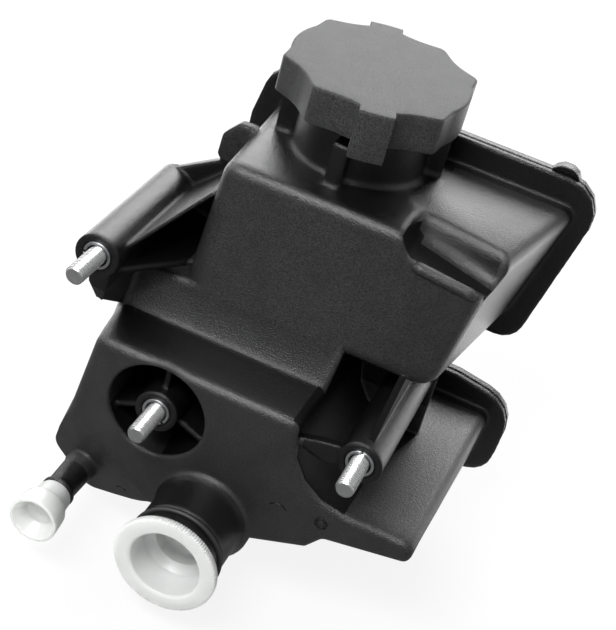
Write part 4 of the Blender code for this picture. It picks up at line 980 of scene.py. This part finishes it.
# Strainer and baffle: a natural nylon basket in the outlet's well, with steel gauze made as a
# plain grid of wires, and the pierced plate between the chambers.
NATURAL_NYLON = (0.56, 0.52, 0.42)
GAUZE_STEEL = (0.45, 0.45, 0.44)
GAUZE_RADIUS = 0.00858
GAUZE_LOW_Y = -0.0071
GAUZE_HIGH_Y = 0.0172
GAUZE_AROUND = 84
GAUZE_ALONG = 38
WIRE_RADIUS = 0.00011

natural_nylon = moulded_plastic("natural_nylon", NATURAL_NYLON, 0.44, 0.0002, (2000.0, 0.3), 0.0)
for node in ("strainer_frame", "baffle_plate"):
    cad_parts[node].data.materials[0] = natural_nylon
gauze_steel = plated_steel("gauze_steel", GAUZE_STEEL, 0.36)


def gauze_tree():
    """A tube's grid of edges swept as wires, laid along the outlet's axis."""
    tree, entry, leave = geometry_tree("gauze_weave", [
        ("Wire Radius", "Float", 0.0001), ("Radius", "Float", 0.0086), ("Length", "Float", 0.024),
        ("Around", "Int", 84), ("Along", "Int", 38), ("Middle", "Vector", (0.0, 0.0, 0.0)),
    ])
    link = tree.links.new
    tube = tree.nodes.new("GeometryNodeMeshCylinder")
    tube.fill_type = "NONE"
    link(entry.outputs["Around"], tube.inputs["Vertices"])
    link(entry.outputs["Along"], tube.inputs["Side Segments"])
    link(entry.outputs["Radius"], tube.inputs["Radius"])
    link(entry.outputs["Length"], tube.inputs["Depth"])
    wires = tree.nodes.new("GeometryNodeMeshToCurve")
    link(tube.outputs["Mesh"], wires.inputs["Mesh"])
    lay = tree.nodes.new("GeometryNodeTransform")
    lay.inputs["Rotation"].default_value = (math.pi / 2, 0.0, 0.0)
    link(swept(tree, wires.outputs["Curve"], entry.outputs["Wire Radius"], 4),
         lay.inputs["Geometry"])
    link(entry.outputs["Middle"], lay.inputs["Translation"])
    close_tree(tree, lay.outputs["Geometry"], leave, gauze_steel)
    return tree


strainer_gauze = grown("strainer_gauze", gauze_tree(), {
    "Wire Radius": WIRE_RADIUS, "Radius": GAUZE_RADIUS, "Around": GAUZE_AROUND,
    "Along": GAUZE_ALONG, "Length": GAUZE_HIGH_Y - GAUZE_LOW_Y - 0.0003,
    "Middle": (OUTLET_X, (GAUZE_LOW_Y + GAUZE_HIGH_Y) / 2, OUTLET_Z),
})
dress(strainer_gauze, gauze_steel, "tank", "steel_mesh", "strainer_mesh")


# Studio: a pale floor under the part, a white surround, a large lamp behind, two in front and
# one on the left.
FLOOR_Z = cad_box[0][2] - 0.0004
FLOOR_HALF = 3.0
FLOOR_GREY = (0.82, 0.82, 0.82, 1.0)
FLOOR_GLOW = 0.88
WHITE = (1.0, 1.0, 1.0, 1.0)
FILL_LIGHT = 0.20
GLOSS_FRONT = 0.22
GLOSS_BACK = 2.6


def lens_rays(tree):
    """Two shares: 1 for camera and transmission rays, and 1 for gloss rays."""
    rays = new_node(tree, "LightPath")
    both = new_node(tree, "Math", operation="MAXIMUM")
    tree.links.new(rays.outputs["Is Camera Ray"], both.inputs[0])
    tree.links.new(rays.outputs["Is Transmission Ray"], both.inputs[1])
    return both.outputs["Value"], rays.outputs["Is Glossy Ray"]


def chosen(tree, share, low, high):
    """A mix of two numbers, each plain or a socket."""
    made = new_node(tree, "Mix", data_type="FLOAT")
    for place, value in ((0, share), (2, low), (3, high)):
        feed(tree, made.inputs[place], value)
    return made.outputs[0]


def depth_strength(tree, coordinate, near, far, low, high):
    """A strength that changes with a coordinate's Y."""
    axes = new_node(tree, "SeparateXYZ")
    tree.links.new(new_node(tree, "TexCoord").outputs[coordinate], axes.inputs["Vector"])
    return spread(tree, axes.outputs["Y"], near, far, low, high)


def floor_paint():
    """Pale paint: white to the lens with a soft shadow, dim in front and bright behind in gloss."""
    made, tree, shader = new_finish("floor_paint")
    shader.inputs["Base Color"].default_value = FLOOR_GREY
    shader.inputs["Roughness"].default_value = 0.9
    lens, gloss = lens_rays(tree)
    depth = depth_strength(tree, "Object", 0.04, 0.28, GLOSS_FRONT, GLOSS_BACK)
    glow = new_node(tree, "Emission")
    glow.inputs["Color"].default_value = WHITE
    tree.links.new(chosen(tree, lens, depth, 1.0), glow.inputs["Strength"])
    mixed = new_node(tree, "MixShader")
    feed(tree, mixed.inputs[0], chosen(tree, gloss, chosen(tree, lens, 0.0, FLOOR_GLOW), 1.0))
    tree.links.new(shader.outputs["BSDF"], mixed.inputs[1])
    tree.links.new(glow.outputs["Emission"], mixed.inputs[2])
    tree.links.new(mixed.outputs["Shader"], tree.nodes["Material Output"].inputs["Surface"])
    return made


def studio_world():
    """A white surround for the lens, dim in front and bright behind in gloss, dim for fill."""
    world = bpy.data.worlds.new("studio_surround")
    bpy.context.scene.world = world
    world.use_nodes = True
    tree = world.node_tree
    light = tree.nodes["Background"]
    light.inputs["Color"].default_value = WHITE
    lens, gloss = lens_rays(tree)
    depth = depth_strength(tree, "Generated", -0.7, 0.7, 0.32, 1.2)
    unseen = chosen(tree, gloss, FILL_LIGHT, depth)
    tree.links.new(chosen(tree, lens, unseen, 1.0), light.inputs["Strength"])


def lamp(name, place, aim, size, power):
    """A soft rectangular lamp at a place, turned to its aim."""
    light = bpy.data.lights.new(name, "AREA")
    light.shape = "RECTANGLE"
    light.size, light.size_y = size
    light.energy = power
    holder = placed(name, light)
    holder.location = place
    holder.rotation_euler = (Vector(aim) - Vector(place)).to_track_quat("-Z", "Y").to_euler()


floor_mesh = bpy.data.meshes.new("studio_floor")
floor_mesh.from_pydata([
    (-FLOOR_HALF, -FLOOR_HALF, FLOOR_Z), (FLOOR_HALF, -FLOOR_HALF, FLOOR_Z),
    (FLOOR_HALF, FLOOR_HALF, FLOOR_Z), (-FLOOR_HALF, FLOOR_HALF, FLOOR_Z),
], [], [(0, 1, 2, 3)])
floor_mesh.materials.append(floor_paint())
studio_floor = placed("studio_floor", floor_mesh)

studio_world()
lamp("back_lamp", (-0.12, 0.72, 0.52), (0.02, 0.04, 0.04), (0.95, 0.45), 8.8)
lamp("front_lamp", (-0.14, -0.46, 0.72), (0.02, 0.03, 0.02), (0.50, 0.20), 7.5)
lamp("front_panel", (-0.15, -0.68, 0.60), (0.02, 0.03, 0.02), (0.50, 0.30), 1.2)
lamp("left_lamp", (-0.62, 0.10, 0.45), (0.02, 0.03, 0.02), (0.35, 0.45), 2.2)


# Camera: the photograph's view, from the front right and above, rolled a little to the left.
LENS = 81.5
CAMERA_PLACE = (0.1063, -0.3280, 0.2742)
CAMERA_RIGHT = (0.9065, 0.3494, 0.2368)
CAMERA_UP = (-0.3852, 0.4556, 0.8026)
CAMERA_BACK = (0.1726, -0.8188, 0.5476)

view_camera = bpy.data.cameras.new("view_camera")
view_camera.lens = LENS
view_camera.sensor_width = 36.0
camera = placed("view_camera", view_camera)
columns = zip(CAMERA_RIGHT, CAMERA_UP, CAMERA_BACK, CAMERA_PLACE)
camera.matrix_world = Matrix((*columns, (0.0, 0.0, 0.0, 1.0)))
bpy.context.scene.camera = camera
bpy.context.scene.view_settings.view_transform = "Standard"
